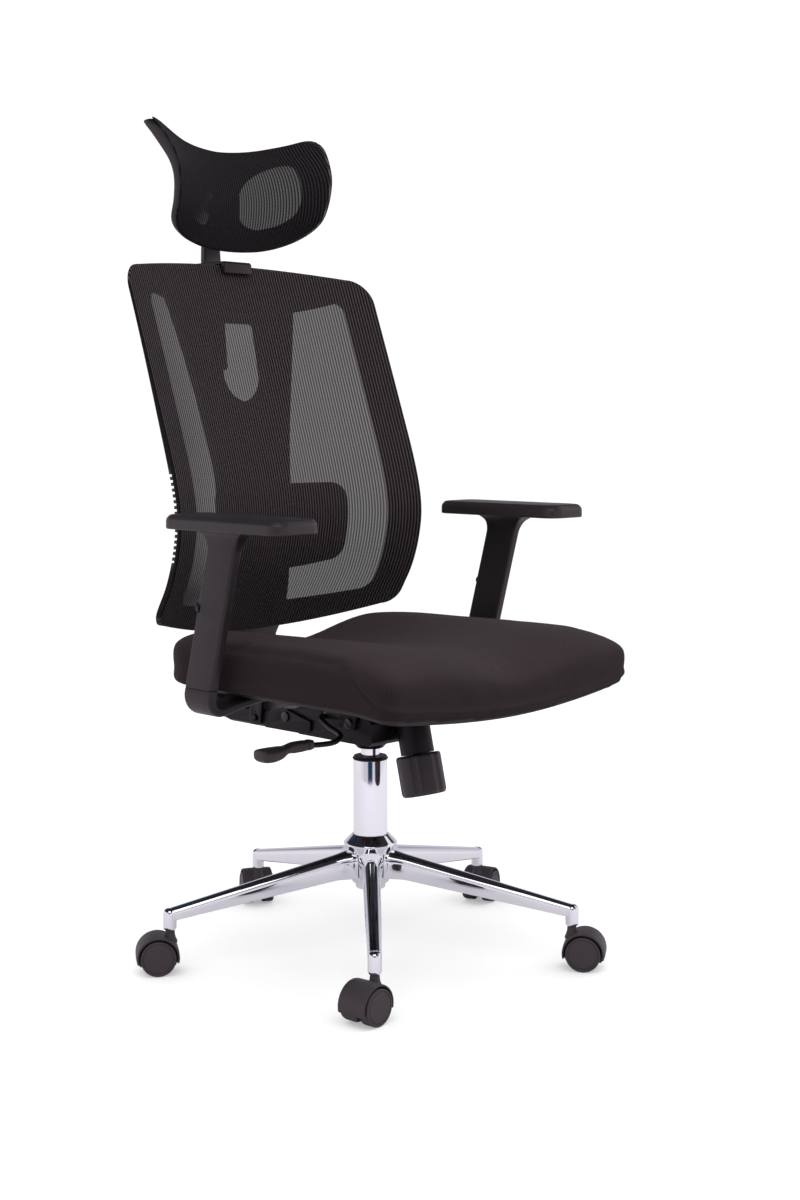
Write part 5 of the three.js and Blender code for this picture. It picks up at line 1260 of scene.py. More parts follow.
@dataclass
class Seat:
    """The padded cushion over its pan."""

    half_width: float = 252.0
    front: float = -297.0
    rear: float = 200.0
    top: float = 446.0
    bottom: float = 411.0
    bolster: float = 20.0
    rear_bolster: float = 32.0
    drop: float = 24.0
    rise: float = 16.0
    skirt: float = 9.0
    pan_edge: float = 1 - 24 / 252
    pan_thickness: float = 12.0
    pan_gap: float = 0.3
    corner_radii: tuple[float, float] = (78.0, 23.0)
    shares: tuple[float, ...] = (0.02, 0.1, 0.3, 0.5, 0.66, 0.78, 0.86)
    voxel: float = 0.0056
    pressure: float = 4.0
    seam: float = 0.1
    seam_depth: float = 1.8
    seam_width: float = 6.0
    most_swell: float = 0.0045
    slack: float = 0.003
    stiffness: float = 40.0
    frames: int = 20

    def plan(self, across: int = 24, up: int = 40, corner: int = 12) -> Array:
        """The cushion's plan: bowed front, rounded corners."""
        half = self.half_width
        outline = Outline(flat(half), flat(self.rear), bowed(self.front, 10, half), *self.corner_radii)
        return outline.points(across, up, corner)

    def upper(self, x: Array, y: Array) -> Array:
        """Height of the top: middle plus raised sides, plus a rise and a roll towards the front."""
        thighs = smoothstep(-y, -120, 160)
        side = lerp(self.rear_bolster, self.bolster, thighs) * smoothstep(np.abs(x), 0, self.half_width * 0.7)
        roll = self.drop * 0.4 * smoothstep(-y, -self.front - 95, -self.front)
        return self.top + self.rise * thighs + side - roll

    def lower(self, x: Array, y: Array) -> Array:
        """Height of the underside: flat, and dropping towards the middle of the front edge."""
        middle = 1 - 0.8 * (x / self.half_width) ** 2
        return self.bottom - self.drop * middle * smoothstep(-y, -self.front - 120, -self.front)

    def loop(self, share: float, side: int, lift: float = 0.0) -> Array:
        """A loop of the cushion's skin: a superellipse from its widest line to its top or underside.

        Args:
            share: the loop's share of the plan.
            side: 1 for the upper half, -1 for the lower.
            lift: added height.

        Returns:
            The loop's points.
        """
        x, y = shrink(self.plan(), share, (0, (self.front + self.rear) / 2)).T
        nose = smoothstep(-y, 120, 285)
        power = lerp(5.0, 3.9, nose) if side > 0 else lerp(8.0, 6.0, nose)
        reach = (1 - share**power) ** (1 / power)
        low, high = self.lower(x, y), self.upper(x, y)
        rim = lerp(low, high, 0.38)
        return np.stack([x, y, lerp(rim, high if side > 0 else low, reach) + lift], -1)

    def cushion(self) -> bpy.types.Object:
        """The cushion's closed skin, before it is puffed."""
        e, d = self.pan_edge, self.skirt
        loops = [self.loop(s, -1) for s in (*self.shares, e)]
        skirt = ((e + 0.012, 2 - d), (e + 0.03, -d), (0.965, 1 - d), (0.99, -d / 2))
        loops += [self.loop(s, -1, lift) for s, lift in skirt]
        loops += [self.loop(float(np.cos(a) ** 0.4), 1) for a in np.radians(np.linspace(0, 88.5, 34))]
        loops += [self.loop(s, 1) for s in (0.1, 0.02)]
        return Shell().solid(np.stack(loops)).piece("seat_cushion_cover", sharp_deg=180)

    def puff(self, cushion: bpy.types.Object) -> None:
        """Lets the cover swell: an even net of cloth under pressure, held where the pan holds it.

        Args:
            cushion: the closed skin, whose mesh is changed.
        """
        remesh = cushion.modifiers.new("even net", "REMESH")
        remesh.mode, remesh.voxel_size = "VOXEL", self.voxel
        baked(cushion)
        rest, normal = self.read(cushion), self.read(cushion, "normal")
        local = (rest - AXIS) / MM
        above = local[:, 2] - self.lower(local[:, 0], local[:, 1])
        free = smoothstep(above, -4, 14)[:, None]
        end = start = rest - normal * self.slack * free
        self.write(cushion, start)
        move = self.swollen(cushion) - start
        far = np.linalg.norm(move, axis=1, keepdims=True)
        end = start + move * np.minimum(1, self.most_swell / np.maximum(far, 1e-9)) * free
        self.write(cushion, end)
        ease = cushion.modifiers.new("eased", "SMOOTH")
        ease.factor, ease.iterations = 0.5, 6
        finer = cushion.modifiers.new("finer", "SUBSURF")
        finer.levels = finer.render_levels = 1
        baked(cushion)
        self.crease(cushion)
        cushion.data.shade_smooth()

    def swollen(self, cushion: bpy.types.Object) -> Array:
        """The cover's vertices after a run of cloth under pressure."""
        cloth = cushion.modifiers.new("padding", "CLOTH")
        cloth.settings.quality = 4
        cloth.settings.use_pressure = True
        cloth.settings.uniform_pressure_force = self.pressure
        cloth.settings.tension_stiffness = cloth.settings.compression_stiffness = self.stiffness
        cloth.settings.bending_stiffness = 2.0
        cloth.settings.effector_weights.gravity = 0
        cloth.point_cache.frame_start, cloth.point_cache.frame_end = 1, self.frames
        for step in range(1, self.frames + 1):
            bpy.context.scene.frame_set(step)
        rows = self.read(cushion.evaluated_get(bpy.context.evaluated_depsgraph_get()))
        cushion.modifiers.clear()
        bpy.context.scene.frame_set(1)
        return rows

    @staticmethod
    def read(piece: bpy.types.Object, kind: str = "co") -> Array:
        """A piece's vertices, or their normals, as rows of three."""
        rows = np.empty(len(piece.data.vertices) * 3, np.float32)
        piece.data.vertices.foreach_get(kind, rows)
        return rows.reshape(-1, 3)

    @staticmethod
    def write(piece: bpy.types.Object, rows: Array) -> None:
        """Sets a piece's vertices from rows of three."""
        piece.data.vertices.foreach_set("co", np.ascontiguousarray(rows, dtype=np.float32).ravel())
        piece.data.update()

    def crease(self, cushion: bpy.types.Object) -> None:
        """Sets the seam in the cover: a lip over a groove, high along the sides, falling at the front corners.

        The push along the normal is the depth times root two times u times e to the (half less u squared),
        where u is the height over the seam's line as a share of the seam's width.

        Args:
            cushion: the cover, whose mesh is changed.
        """
        at = self.read(cushion)
        x, y, z = ((at - AXIS) / MM).T
        low, high = self.lower(x, y), self.upper(x, y)
        line = lerp(low, high, lerp(0.84, self.seam, smoothstep(-y, 180, 290)))
        deep = self.seam_depth * MM * lerp(0.6, 1.0, smoothstep(-y, 120, 220)) * smoothstep(-y, -150, -60)
        u = (z - line) / self.seam_width
        push = deep * u * np.exp(0.5 - u * u) * math.sqrt(2)
        self.write(cushion, at + self.read(cushion, "normal") * push[:, None])

    def build(self, shop: Workshop) -> None:
        """Makes and dresses the cushion and its pan."""
        cushion = self.cushion()
        self.puff(cushion)
        shop.dress(cushion, SEAT_CLOTH, "seat", "seat_cushion")
        edge, gap, thick = self.pan_edge, self.pan_gap, self.pan_thickness
        loops = [self.loop(s, -1, -gap) for s in (*self.shares, edge)] + [self.loop(edge, -1, -gap - thick / 2)]
        loops += [self.loop(s, -1, -gap - thick) for s in (edge - 0.012, *self.shares[::-1])]
        pan = Shell().solid(np.stack(loops)).piece("seat_shell")
        shop.dress(pan, MOULDED, "seat", "seat_pan")


# ---- armrests ----


class Side(Enum):
    """The sitter's side of the chair, with the sign of X there."""

    RIGHT = -1
    LEFT = 1

    @property
    def label(self) -> str:
        """The side's name in node names."""
        return self.name.lower()


@dataclass
class Armrest:
    """A T-shaped armrest: bracket, leaning sleeve with its flared saddle, button and pad."""

    side: Side
    centre_x: float = 279.5
    width: float = 15.0
    depth: float = 57.0
    lean_deg: float = 14.8
    seam: tuple[float, float] = (41.0, 415.0)
    foot: tuple[float, float] = (376.0, 387.0)
    cavity: tuple[float, float] = (4.5, 25.5)
    button: tuple[float, float, float] = (527.0, 6.4, 2.2)
    pad: tuple[float, float] = (632.0, 652.0)
    pad_half: tuple[float, float] = (41.0, 119.0)
    pad_centre: tuple[float, float] = (271.0, -32.0)

    def post_y(self, z: Any) -> Any:
        """Middle of the post at a height: it leans forward as it rises."""
        return self.seam[0] - math.tan(math.radians(self.lean_deg)) * (np.asarray(z, float) - self.seam[1])

    def level(self, z: Array, half_x: Any, half_y: Any, radius: Any) -> Array:
        """Level rounded sections of the post at several heights."""
        section = rounded_rect(half_x + 0 * z, half_y + 0 * z, radius + 0 * z, 6)
        centre = np.stack([self.centre_x + 0 * z, self.post_y(z)], -1)[:, None]
        return np.concatenate([section + centre, z[:, None, None] + 0 * section[..., :1]], -1)

    def sleeve(self) -> Shell:
        """The sleeve: straight, then flared both ways into the saddle, and hollow from below."""
        low, high = self.seam[1] + 0.3, self.pad[0] - 0.3
        z = np.concatenate([[low, low + 0.25, low + 0.7], np.linspace(low + 2, 580, 12), np.linspace(584, high, 46)])
        half_x = smooth([(low, 6.9), (low + 0.7, 7.5), (600, 7.5), (616, 8.5), (625, 11), (629, 13.6), (high, 14.2)])(z)
        foot, flare = [(low, 27.9), (low + 0.7, 28.5), (600, 28.5)], [(608, 28.8), (616, 31), (622, 34.5), (627, 41)]
        half_y = smooth([*foot, *flare, (high, 50)])(z)
        outer = self.level(z, half_x, half_y, np.minimum(4.2, half_x - 1))
        inner = self.level(np.array([low, 614.0]), *self.cavity, 1.5)
        made = Shell().grid(outer).cap(outer[-1]).grid(inner).cap(inner[-1])
        return made.grid(np.stack([outer[0], inner[0]]))

    def bracket(self) -> Shell:
        """The bracket: a flat foot that bends up into the post's base, and the fixed post inside the sleeve."""
        foot_low, foot_high = self.foot
        thick = foot_high - foot_low
        bend = 26.0
        turn_x = self.centre_x - bend
        middle = foot_low + thick / 2
        start = [(118.0, 392.9, 0, 11, 20), (119.0, 392.9, 0, 11, 20.4), (190, 392.6, 0, 11, 22)]
        run = np.array([*start, (turn_x, middle, 0, 13, 24)])
        x = np.concatenate([[118], np.linspace(119, turn_x - 2, 14)])
        level = np.stack([x, *columns(run, x)], -1)
        turn = np.linspace(10, 88, 12)
        a = np.radians(turn)
        corner = np.stack(
            [
                turn_x + bend * np.sin(a),
                middle + bend * (1 - np.cos(a)),
                turn,
                lerp(13, self.width, turn / 90),
                lerp(24, self.depth / 2, turn / 90),
            ],
            -1,
        )
        before = (self.centre_x, self.seam[1] - 0.6, 90, self.width, self.depth / 2)
        end = [before, (self.centre_x, self.seam[1], 90, self.width - 1, self.depth / 2 - 0.5)]
        stations = np.concatenate([level, corner, end])
        cx, cz, deg, t, half = stations.T
        section = rounded_rect(half, t / 2, np.minimum(4.0, t / 2 - 0.6), 6)
        rights = np.tile([0.0, 1.0, 0.0], (len(cx), 1))
        ups = np.stack([-np.sin(np.radians(deg)), 0 * deg, np.cos(np.radians(deg))], -1)
        made = Shell().solid(lofted(np.stack([cx, self.post_y(cz), cz], -1), rights, ups, section))
        z = np.array([self.seam[1] - 6, 563.0, 565.0])
        shrunk = np.array([0.6, 0.6, 1.6])
        post = self.level(z, self.cavity[0] - shrunk, self.cavity[1] - 3.2 - shrunk, 2.0)
        return made.solid(post)

    def button_shell(self, radius: float, inside: float, outside: float) -> Shell:
        """A round-nosed button in the sleeve's rear outer corner, square to the lean."""
        corners = [(0.05, -inside), (radius, -inside), (radius, outside), (0.05, outside)]
        nose = filleted(corners, min(1.6, radius / 2), 5)
        p = turned(nose, 36)
        lean = math.radians(self.lean_deg)
        along = np.array([0.0, math.cos(lean), math.sin(lean)])
        up = np.array([0.0, -math.sin(lean), math.cos(lean)])
        z = self.button[0]
        at = np.array([self.centre_x + self.button[2], float(self.post_y(z)) + self.depth / 2 + 0.4, z])
        return Shell().solid(at + p[..., 0:1] * [1.0, 0, 0] + p[..., 1:2] * up + p[..., 2:3] * along)

    def pad_shell(self) -> Shell:
        """The pad: rounded loops that follow a softened edge profile, with a slight crown on top."""
        low, high = self.pad
        rise = [(9, low), (1.2, low), (0, low + 1.5), (0.3, high - 6.5), (5.0, high - 0.8), (12, high)]
        edge = filleted(rise, 2.4, 5)
        inset = np.concatenate([[34, 20], edge[:, 0], [18, 26, 34]])
        z = np.concatenate([[low, low], edge[:, 1], [high + 0.25, high + 0.4, high + 0.45]])
        hx, hy = self.pad_half
        section = rounded_rect(hx - inset, hy - inset, np.maximum(22 - inset * 0.8, 3), 9)
        p = np.concatenate([section + self.pad_centre, z[:, None, None] + 0 * section[..., :1]], -1)
        return Shell().solid(p)

    def build(self, shop: Workshop) -> None:
        """Makes and dresses the armrest's four pieces."""
        label = self.side.label

        def made(shell: Shell, name: str, sharp: float = 42) -> bpy.types.Object:
            """The shell's piece on this armrest's side."""
            return (shell if self.side is Side.LEFT else shell.mirrored()).piece(f"{name}_{label}", sharp_deg=sharp)

        sleeve = made(self.sleeve(), "arm_upright")
        sleeve = carve(sleeve, [made(self.button_shell(self.button[1] + 1.4, 7.4, 12), "bore")])
        shop.dress(sleeve, ARM_PLASTIC, f"arm_{label}", f"arm_sleeve_{label}")
        shop.dress(made(self.bracket(), "arm_mount"), ARM_PLASTIC, "seat", f"arm_bracket_{label}")
        button = made(self.button_shell(self.button[1], 4.2, 3.0), "arm_push_button")
        shop.dress(button, MOULDED, f"arm_button_{label}", f"arm_button_{label}")
        shop.dress(made(self.pad_shell(), "arm_rest_pad"), PAD_PLASTIC, f"arm_{label}", f"arm_pad_{label}")


# ---- backrest ----


BACK_EDGE = smooth(
    [(440, 207), (507, 171), (545, 149), (590, 133.5), (639, 127.6), (697, 138), (791, 170), (1013, 252)]
)
SPINE_REAR = smooth(
    [(418, 286), (446, 282), (518, 268), (600, 263), (675, 264), (749, 275), (852, 292), (935, 309), (1003, 328)]
)
SPINE_HALF = smooth([(418, 64), (518, 67), (675, 70), (749, 79), (852, 99), (1003, 134)])


def net_sheet(
    outline: Array, inner: Array, centre: Sequence[float], surface: Curve, roll: float, hem: Curve, shares: int = 30
) -> Shell:
    """A taut sheet over a surface whose rim rolls back round the frame's edge.

    Between the outline and the inner loop the sheet follows the surface, and within one roll radius of its
    edge it falls back along a quarter circle; past the edge it runs straight back to its hem.

    Args:
        outline: the sheet's outer (x, z) loop.
        inner: the loop at the frame's opening.
        centre: the middle of the inner loop.
        surface: depth of the sheet's front at arrays of x and z.
        roll: radius of the rolled rim.
        hem: how far the hem runs back at arrays of x and z.
        shares: loops from the inner one to the centre.

    Returns:
        The open sheet.
    """
    width = np.linalg.norm(outline - inner, axis=1)
    inward = (inner - outline) / width[:, None]
    loops = []
    back = hem(outline[:, 0], outline[:, 1])
    for run in (1.0, 0.5, 0.0):
        p = outline + inward * 0.15 * run
        loops.append(stood(p, surface(*p.T) + lerp(roll, np.maximum(back, roll + 0.5), run)))
    for angle in np.radians(np.linspace(15, 90, 6)):
        p = outline + inward * roll * (1 - math.cos(angle))
        loops.append(stood(p, surface(*p.T) + roll * (1 - math.sin(angle))))
    for share in np.linspace(0.12, 1, 9):
        reach = lerp(roll, width, share)[:, None]
        p = outline + inward * reach
        loops.append(stood(p, surface(*p.T)))
    for share in np.linspace(1, 0.02, shares)[1:]:
        p = shrink(inner, share, centre)
        loops.append(stood(p, surface(*p.T)))
    return Shell().grid(np.stack(loops)).cap(loops[-1])


def ring_rail(
    outline: Array, inner: Array, surface: Curve, offset: float, thick_in: Any, thick_out: Any, round_mm: float
) -> Shell:
    """A moulded ring: a rounded four-cornered section between the inner loop and the outline, carried round.

    Args:
        outline: outer (x, z) loop.
        inner: inner loop.
        surface: depth of the sheet's front.
        offset: how far behind it the ring's front stands.
        thick_in: thickness at the inner loop.
        thick_out: thickness at the outline, a number or one per point.
        round_mm: radius of the section's corners.

    Returns:
        The closed ring.
    """
    width = float(np.linalg.norm(outline - inner, axis=1).mean())
    section = filleted([(0, 0), (width, 0), (width, 12), (0, 12)], round_mm, 5, closed=True) / [width, 12]
    a = section[:, 0][:, None]
    p = inner + (outline - inner) * a[..., None]
    x, z = p[..., 0], p[..., 1]
    thick = thick_in + (thick_out - thick_in) * a
    y = surface(x, z) + offset + thick * section[:, 1][:, None]
    return Shell().grid(np.stack([x, y, z], -1), looped=True)


@dataclass
class Backrest:
    """The mesh back: a rolled net on a moulded ring, the Y-shaped spine behind it and the lumbar pad."""

    half_width: float = 243.0
    bottom: float = 455.0
    top: float = 1013.0
    rail: float = 46.0
    top_rail: float = 76.0
    bottom_rail: float = 42.0
    thickness: float = 13.3
    edge_thickness: float = 4.0
    net: float = 2.7
    spine_thickness: float = 18.0
    spine: tuple[float, float] = (418.0, 1003.0)
    slot: tuple[float, float, float] = (42.0, 805.0, 925.0)
    lumbar: tuple[float, float, float] = (130.0, 549.0, 681.0)
    lumbar_gap: float = 12.0
    lumbar_thickness: float = 13.0
    notches: tuple[float, float] = (579.0, 702.0)
    notch: tuple[float, float] = (3.7, 6.5)
    notch_pitch: float = 8.06

    def surface(self, x: Any, z: Any) -> Any:
        """Front of the net: its side edge's curve plus a hollow that is deepest in the middle."""
        x, z = np.asarray(x, float), np.asarray(z, float)
        return BACK_EDGE(z) + lerp(54.0, 48.0, smoothstep(z, 690, 960)) * (1 - (x / self.half_width) ** 2)

    def outline(self, inset: float = 0.0) -> Array:
        """The back's outline: arched top and bottom, straight sides."""
        half = self.half_width
        return Outline(
            side=flat(half - inset),
            top=bowed(self.top - inset, -17, half),
            bottom=bowed(self.bottom + inset, 34, half),
            top_radius=38.0 - inset,
            bottom_radius=24.0 - inset,
        ).points()

    def opening(self) -> Array:
        """The ring's opening."""
        half = self.half_width - self.rail
        low, high = self.bottom + self.bottom_rail, self.top - self.top_rail
        return Outline(
            side=flat(half),
            top=bowed(high, 30, half),
            bottom=bowed(low, 14, half),
            top_radius=17.0,
            bottom_radius=20.0,
        ).points()

    def rail_edge(self, x: Any, z: Any) -> Any:
        """The ring's thickness at its outer edge, which thins towards the top of the side rails."""
        side = smoothstep(np.abs(x), self.half_width * 0.7, self.half_width)
        return lerp(self.thickness, self.edge_thickness, smoothstep(z, 690, 960) * side)

    def spine_front(self, z: Any) -> Any:
        """Front of the spine: its thickness ahead of its rear, or just clear of the ring where the rails cross."""
        free = SPINE_REAR(z) - self.spine_thickness
        behind = self.surface(0 * z, z) + self.net + self.thickness + 0.3
        low, high = self.bottom + self.bottom_rail + 12, self.top - self.top_rail - 8
        railed = np.maximum(1 - smoothstep(z, low, low + 14), smoothstep(z, high - 14, high))
        return lerp(free, np.maximum(free, behind), railed)

    def build_ring(self, shop: Workshop) -> None:
        """The moulded ring, with a row of notches cut into the rear edge of each side rail."""
        rim = self.outline(1.3)
        outer = self.rail_edge(*rim.T) + 1.1
        ring = ring_rail(rim, self.opening(), self.surface, 1.6, self.thickness + 1.1, outer, 3.4)
        gaps = Shell()
        low, high = self.notches
        for z in np.arange(low, high, self.notch_pitch):
            rear = float(self.surface(self.half_width, z)) + self.net + float(self.rail_edge(self.half_width, z))
            for s in (-1, 1):
                x = sorted((s * (self.half_width - 17), s * (self.half_width + 6)))
                rise = self.notch[0] / 2
                gaps.box([x[0], rear - self.notch[1], z - rise], [x[1], rear + 9, z + rise], 0.2)
        made = carve(ring.piece("back_ring", sharp_deg=48), [gaps.piece("gaps")])
        shop.dress(made, MOULDED, "recliner", "back_frame")

    def build_spine(self, shop: Workshop) -> None:
        """The spine: level rounded sections, with the window and the lumbar pad's track cut through."""
        low, high = self.spine
        shaft = np.linspace(low + 6, high - 6, 110)
        z = np.concatenate([[low, low + 0.8, low + 2.5], shaft, [high - 2.5, high - 0.8, high]])
        ends = np.concatenate([[2.6, 1.2, 0.3], np.zeros(110), [0.3, 1.2, 2.6]])
        front, rear = self.spine_front(z), SPINE_REAR(z)
        section = rounded_rect(SPINE_HALF(z) - ends, (rear - front) / 2 - ends, 3.6, 4)
        y = section[..., 1] + ((front + rear) / 2)[:, None]
        spine = Shell().solid(np.stack([section[..., 0], y, z[:, None] + 0 * y], -1)).piece("spine_moulding")
        half, foot, head = self.slot
        arc = np.radians(np.linspace(180, 360, 40))
        bottom = np.stack([half * np.cos(arc), foot + half * (1 + np.sin(arc))], -1)
        sides = [(half, foot + half + 1), (half, head), (-half, head), (-half, foot + half + 1)]
        window = slab(np.concatenate([bottom, filleted(sides, 8, 6)]))
        track = Shell().box([-12, 200, 582], [12, float(SPINE_REAR(600)) - 10, 676], 1.0)
        cutters = [window.piece("window"), track.piece("track")]
        shop.dress(carve(spine, cutters), MOULDED, "recliner", "back_spine")

    def build_lumbar(self, shop: Workshop) -> None:
        """The lumbar pad: a dished slab with softened edges and a stalk in the spine's track."""
        half, low, high = self.lumbar
        edge = Outline(
            side=flat(half),
            top=flat(high),
            bottom=bowed(low, 15, half),
            top_radius=25.0,
            bottom_radius=25.0,
        ).points(20, 16, 12)
        centre = (0.0, (low + high) / 2)
        lift = filleted([(0, 0), (half, 0), (half, self.lumbar_thickness), (0, self.lumbar_thickness)], 5.0, 6)
        share = np.interp(lift[:, 0], [0, half], [0.02, 1.0])
        loops = []
        for s, d in zip(share, lift[:, 1]):
            p = shrink(edge, float(s), centre)
            loops.append(stood(p, self.surface(*p.T) + self.lumbar_gap + d))
        inner = [np.array(loops[0] * (1 - t) + loops[1] * t) for t in np.linspace(0, 1, 14)[:-1]]
        outer = [np.array(loops[-2] * (1 - t) + loops[-1] * t) for t in np.linspace(0, 1, 14)[1:]]
        for group, depth in ((inner, 0.0), (outer, self.lumbar_thickness)):
            for p in group:
                p[:, 1] = self.surface(p[:, 0], p[:, 2]) + self.lumbar_gap + depth
        pad = Shell().solid(np.stack([*inner, *loops[1:-1], *outer]))
        front = float(self.surface(0, 640)) + self.lumbar_gap + self.lumbar_thickness / 2
        pad.box([-11.4, front, 595], [11.4, float(SPINE_REAR(600)) - 10.6, 655], 1.0)
        shop.dress(pad.piece("lumbar_support", sharp_deg=48), MOULDED, "lumbar", "lumbar_pad")

    def build(self, shop: Workshop) -> None:
        """Makes and dresses the backrest."""
        self.build_ring(shop)
        self.build_spine(shop)
        self.build_lumbar(shop)
        outline = self.outline()
        middle = (0.0, (self.top + self.bottom) / 2)

        def hem(x: Any, z: Any) -> Any:
            """How far the net runs back round the ring: less beside the notches."""
            beside = smoothstep(z, 560, 577) * (1 - smoothstep(z, 702, 719)) * (np.abs(x) > self.half_width * 0.9)
            return self.net + (0.75 - 0.4 * beside) * self.rail_edge(x, z)

        skin = net_sheet(outline, self.opening(), middle, self.surface, 3.6, hem)
        sheet = skin.piece("back_net", closed=False, sharp_deg=180)
        shop.dress(sheet, NET, "recliner", "back_mesh")
        declare_sheet(sheet)


def declare_sheet(sheet: bpy.types.Object) -> None:
    """Logs a stretched sheet's cut: its flat size is its girth each way, its flat area that of its mesh."""
    area = sum(face.area for face in sheet.data.polygons)
    lo, hi = (Vector(f(v.co[k] for v in sheet.data.vertices) for k in range(3)) for f in (min, max))
    width, height = (WRAP * girth + HEM for girth in (hi.x - lo.x, hi.z - lo.z))
    length = max(height, SPARE * area / width)
    log.info("%s is cut %.0f by %.0f mm, %.4f square metres", sheet.name, width / MM, length / MM, area)


# ---- headrest ----


HEAD_SETBACK = smooth(
    [(0, 16), (0.14, 6), (0.28, 0), (0.42, -1), (0.53, 3), (0.64, 11), (0.75, 25), (0.85, 45), (0.9, 50), (1, 46)]
)
HEAD_WING = smooth(
    [(0, 8), (0.09, 13), (0.2, 32), (0.28, 45), (0.36, 52.5), (0.5, 57), (0.64, 54), (0.75, 43), (0.86, 26), (1, -1)]
)
HEAD_CORNERS = [
    (0, 0),
    (42, 0.01),
    (72, 0.035),
    (100, 0.08),
    (121, 0.136),
    (135, 0.202),
    (142, 0.27),
    (145.5, 0.36),
    (149, 0.5),
    (152.5, 0.635),
    (156.5, 0.755),
    (161, 0.865),
    (164, 0.94),
    (162.5, 0.985),
    (155, 1),
    (142, 0.988),
    (122, 0.953),
    (98, 0.918),
    (72, 0.885),
    (48, 0.863),
    (24, 0.849),
]
HEAD_WINDOW = [
    (23, 0.28),
    (23, 0.44),
    (27, 0.52),
    (44, 0.615),
    (64, 0.69),
    (88, 0.745),
    (108, 0.765),
    (119, 0.75),
    (121, 0.68),
    (119, 0.55),
    (115, 0.42),
    (107, 0.325),
    (87, 0.245),
    (57, 0.2),
    (38, 0.215),
]


@dataclass
class Headrest:
    """The headrest: a horned net over a moulded rim with two windows, on a post and a hooked bracket."""

    bottom: float = 1034.0
    height: float = 183.0
    half_width: float = 164.0
    top_middle: float = 1188.0
    middle_y: float = 288.0
    reach: float = 155.0
    stand: float = 22.0
    thickness: float = 7.0
    horn: float = 11.0
    side: float = 9.5
    hem: float = 3.6
    net: float = 2.7
    rim: float = 9.0
    pivot: tuple[float, float] = (331.0, 1102.0)

    @property
    def centre(self) -> tuple[float, float]:
        """Middle of the outline."""
        return 0.0, self.bottom + 0.43 * self.height

    def share(self, z: Any) -> Any:
        """A height as a share of the headrest's own."""
        return (np.asarray(z, float) - self.bottom) / self.height

    def surface(self, x: Any, z: Any) -> Any:
        """Front of the net: the middle line's setback, less the sides' reach forward times distance squared."""
        middle, edge = HEAD_SETBACK(self.share(z)), -HEAD_WING(self.share(z))
        return self.middle_y + middle - (middle - edge) * np.minimum((np.asarray(x, float) / self.reach) ** 2, 1.2)

    def outline(self, inset: float = 0.0) -> Array:
        """The outline, drawn in all round by an inset: horns above, full rounded corners below."""
        right = np.array(HEAD_CORNERS) * [1, self.height] + [0, self.bottom]
        left = right[:0:-1] * [-1, 1]
        loop = ring_through([*right, (0, self.top_middle), *left], 150)
        centre = np.array(self.centre)
        return centre + (loop - centre) * [1 - inset / self.half_width, 1 - 2 * inset / self.height]

    def depth(self, x: Any, z: Any) -> Any:
        """How far the frame stands behind the net: most in the middle, least along the rim."""
        share = self.share(z)
        across = 1 - smoothstep(np.abs(x), 20, self.reach * 0.92)
        return self.net + self.stand * across * smoothstep(share, 0.03, 0.25) * (1 - smoothstep(share, 0.6, 0.84))

    def thick(self, x: Any, z: Any) -> Any:
        """The frame's thickness: even, more along the sides and most in the horns."""
        horns = self.horn * smoothstep(self.share(z), 0.5, 0.85) * smoothstep(np.abs(x), 95, 142)
        return self.thickness + horns + self.side * smoothstep(np.abs(x), 105, 140)

    def build_frame(self, shop: Workshop) -> None:
        """The moulded frame: front and rear shells joined by a rounded edge, with two windows and the pivot lugs."""
        rim = self.outline(1.2)
        inner = self.outline(self.rim)
        loops = [shrink(inner, float(s), self.centre) for s in np.linspace(0.02, 1, 22)]
        front = [stood(p, self.surface(*p.T) + self.depth(*p.T)) for p in loops]
        rear = [p + self.thick(p[:, 0], p[:, 2])[:, None] * [0, 1, 0] for p in front]
        edge = []
        for angle in np.radians(np.linspace(0, 180, 11)):
            p = lerp(inner, rim, 0.55 + 0.45 * math.sin(angle))
            y = self.surface(*p.T) + self.depth(*p.T) - 0.9 + (self.thick(*p.T) + 0.9) * (1 - math.cos(angle)) / 2
            edge.append(stood(p, y))
        made = Shell().solid(np.stack([*front, *edge, *rear[::-1]]))
        corners = [(x, self.bottom + share * self.height) for x, share in HEAD_WINDOW]
        hole = filleted(corners, 9, 5, closed=True)
        cutters = [slab(hole * [s, 1]).piece("window") for s in (-1, 1)]
        rim_piece = carve(made.piece("headrest_rim", sharp_deg=48), cutters)
        lugs = Shell()
        py, pz = self.pivot
        nose = [(py + 3, pz - 9), (py + 9, pz - 4), (py + 9, pz + 4), (py + 3, pz + 9)]
        lug = filleted([(312, pz - 17), *nose, (312, pz + 17)], 4, 4, closed=True)
        p = np.stack([shrink(lug, share, self.pivot) for share in (0.96, 1.0, 1.0, 0.96)])
        for s in (-1, 1):
            x = np.array([15.0, 15.5, 20.5, 21.0]) * s
            lugs.solid(np.concatenate([x[:, None, None] + 0 * p[..., :1], p], -1))
        shop.dress(rim_piece, MOULDED, "headrest", "headrest_frame")
        shop.dress(lugs.piece("headrest_lugs"), MOULDED, "headrest")

    def build(self, shop: Workshop) -> None:
        """Makes and dresses the headrest."""
        self.build_frame(shop)

        def hem(x: Any, z: Any) -> Any:
            """How far the net runs back round the rim."""
            return self.hem + 0 * np.asarray(x, float)

        sheet = net_sheet(self.outline(), self.outline(self.rim), self.centre, self.surface, 3.0, hem, 26)
        piece = sheet.piece("headrest_net", closed=False, sharp_deg=180)
        shop.dress(piece, HEAD_NET_PAINTED_SHADE, "headrest", "headrest_mesh")
        declare_sheet(piece)
        shop.dress(softened("headrest_post", 1.4, 3), SATIN_BLACK, "headrest_stem", "headrest_post")
        shop.dress(softened("headrest_bracket", 1.6, 3), MOULDED, "recliner", "headrest_bracket")


# ---- studio ----


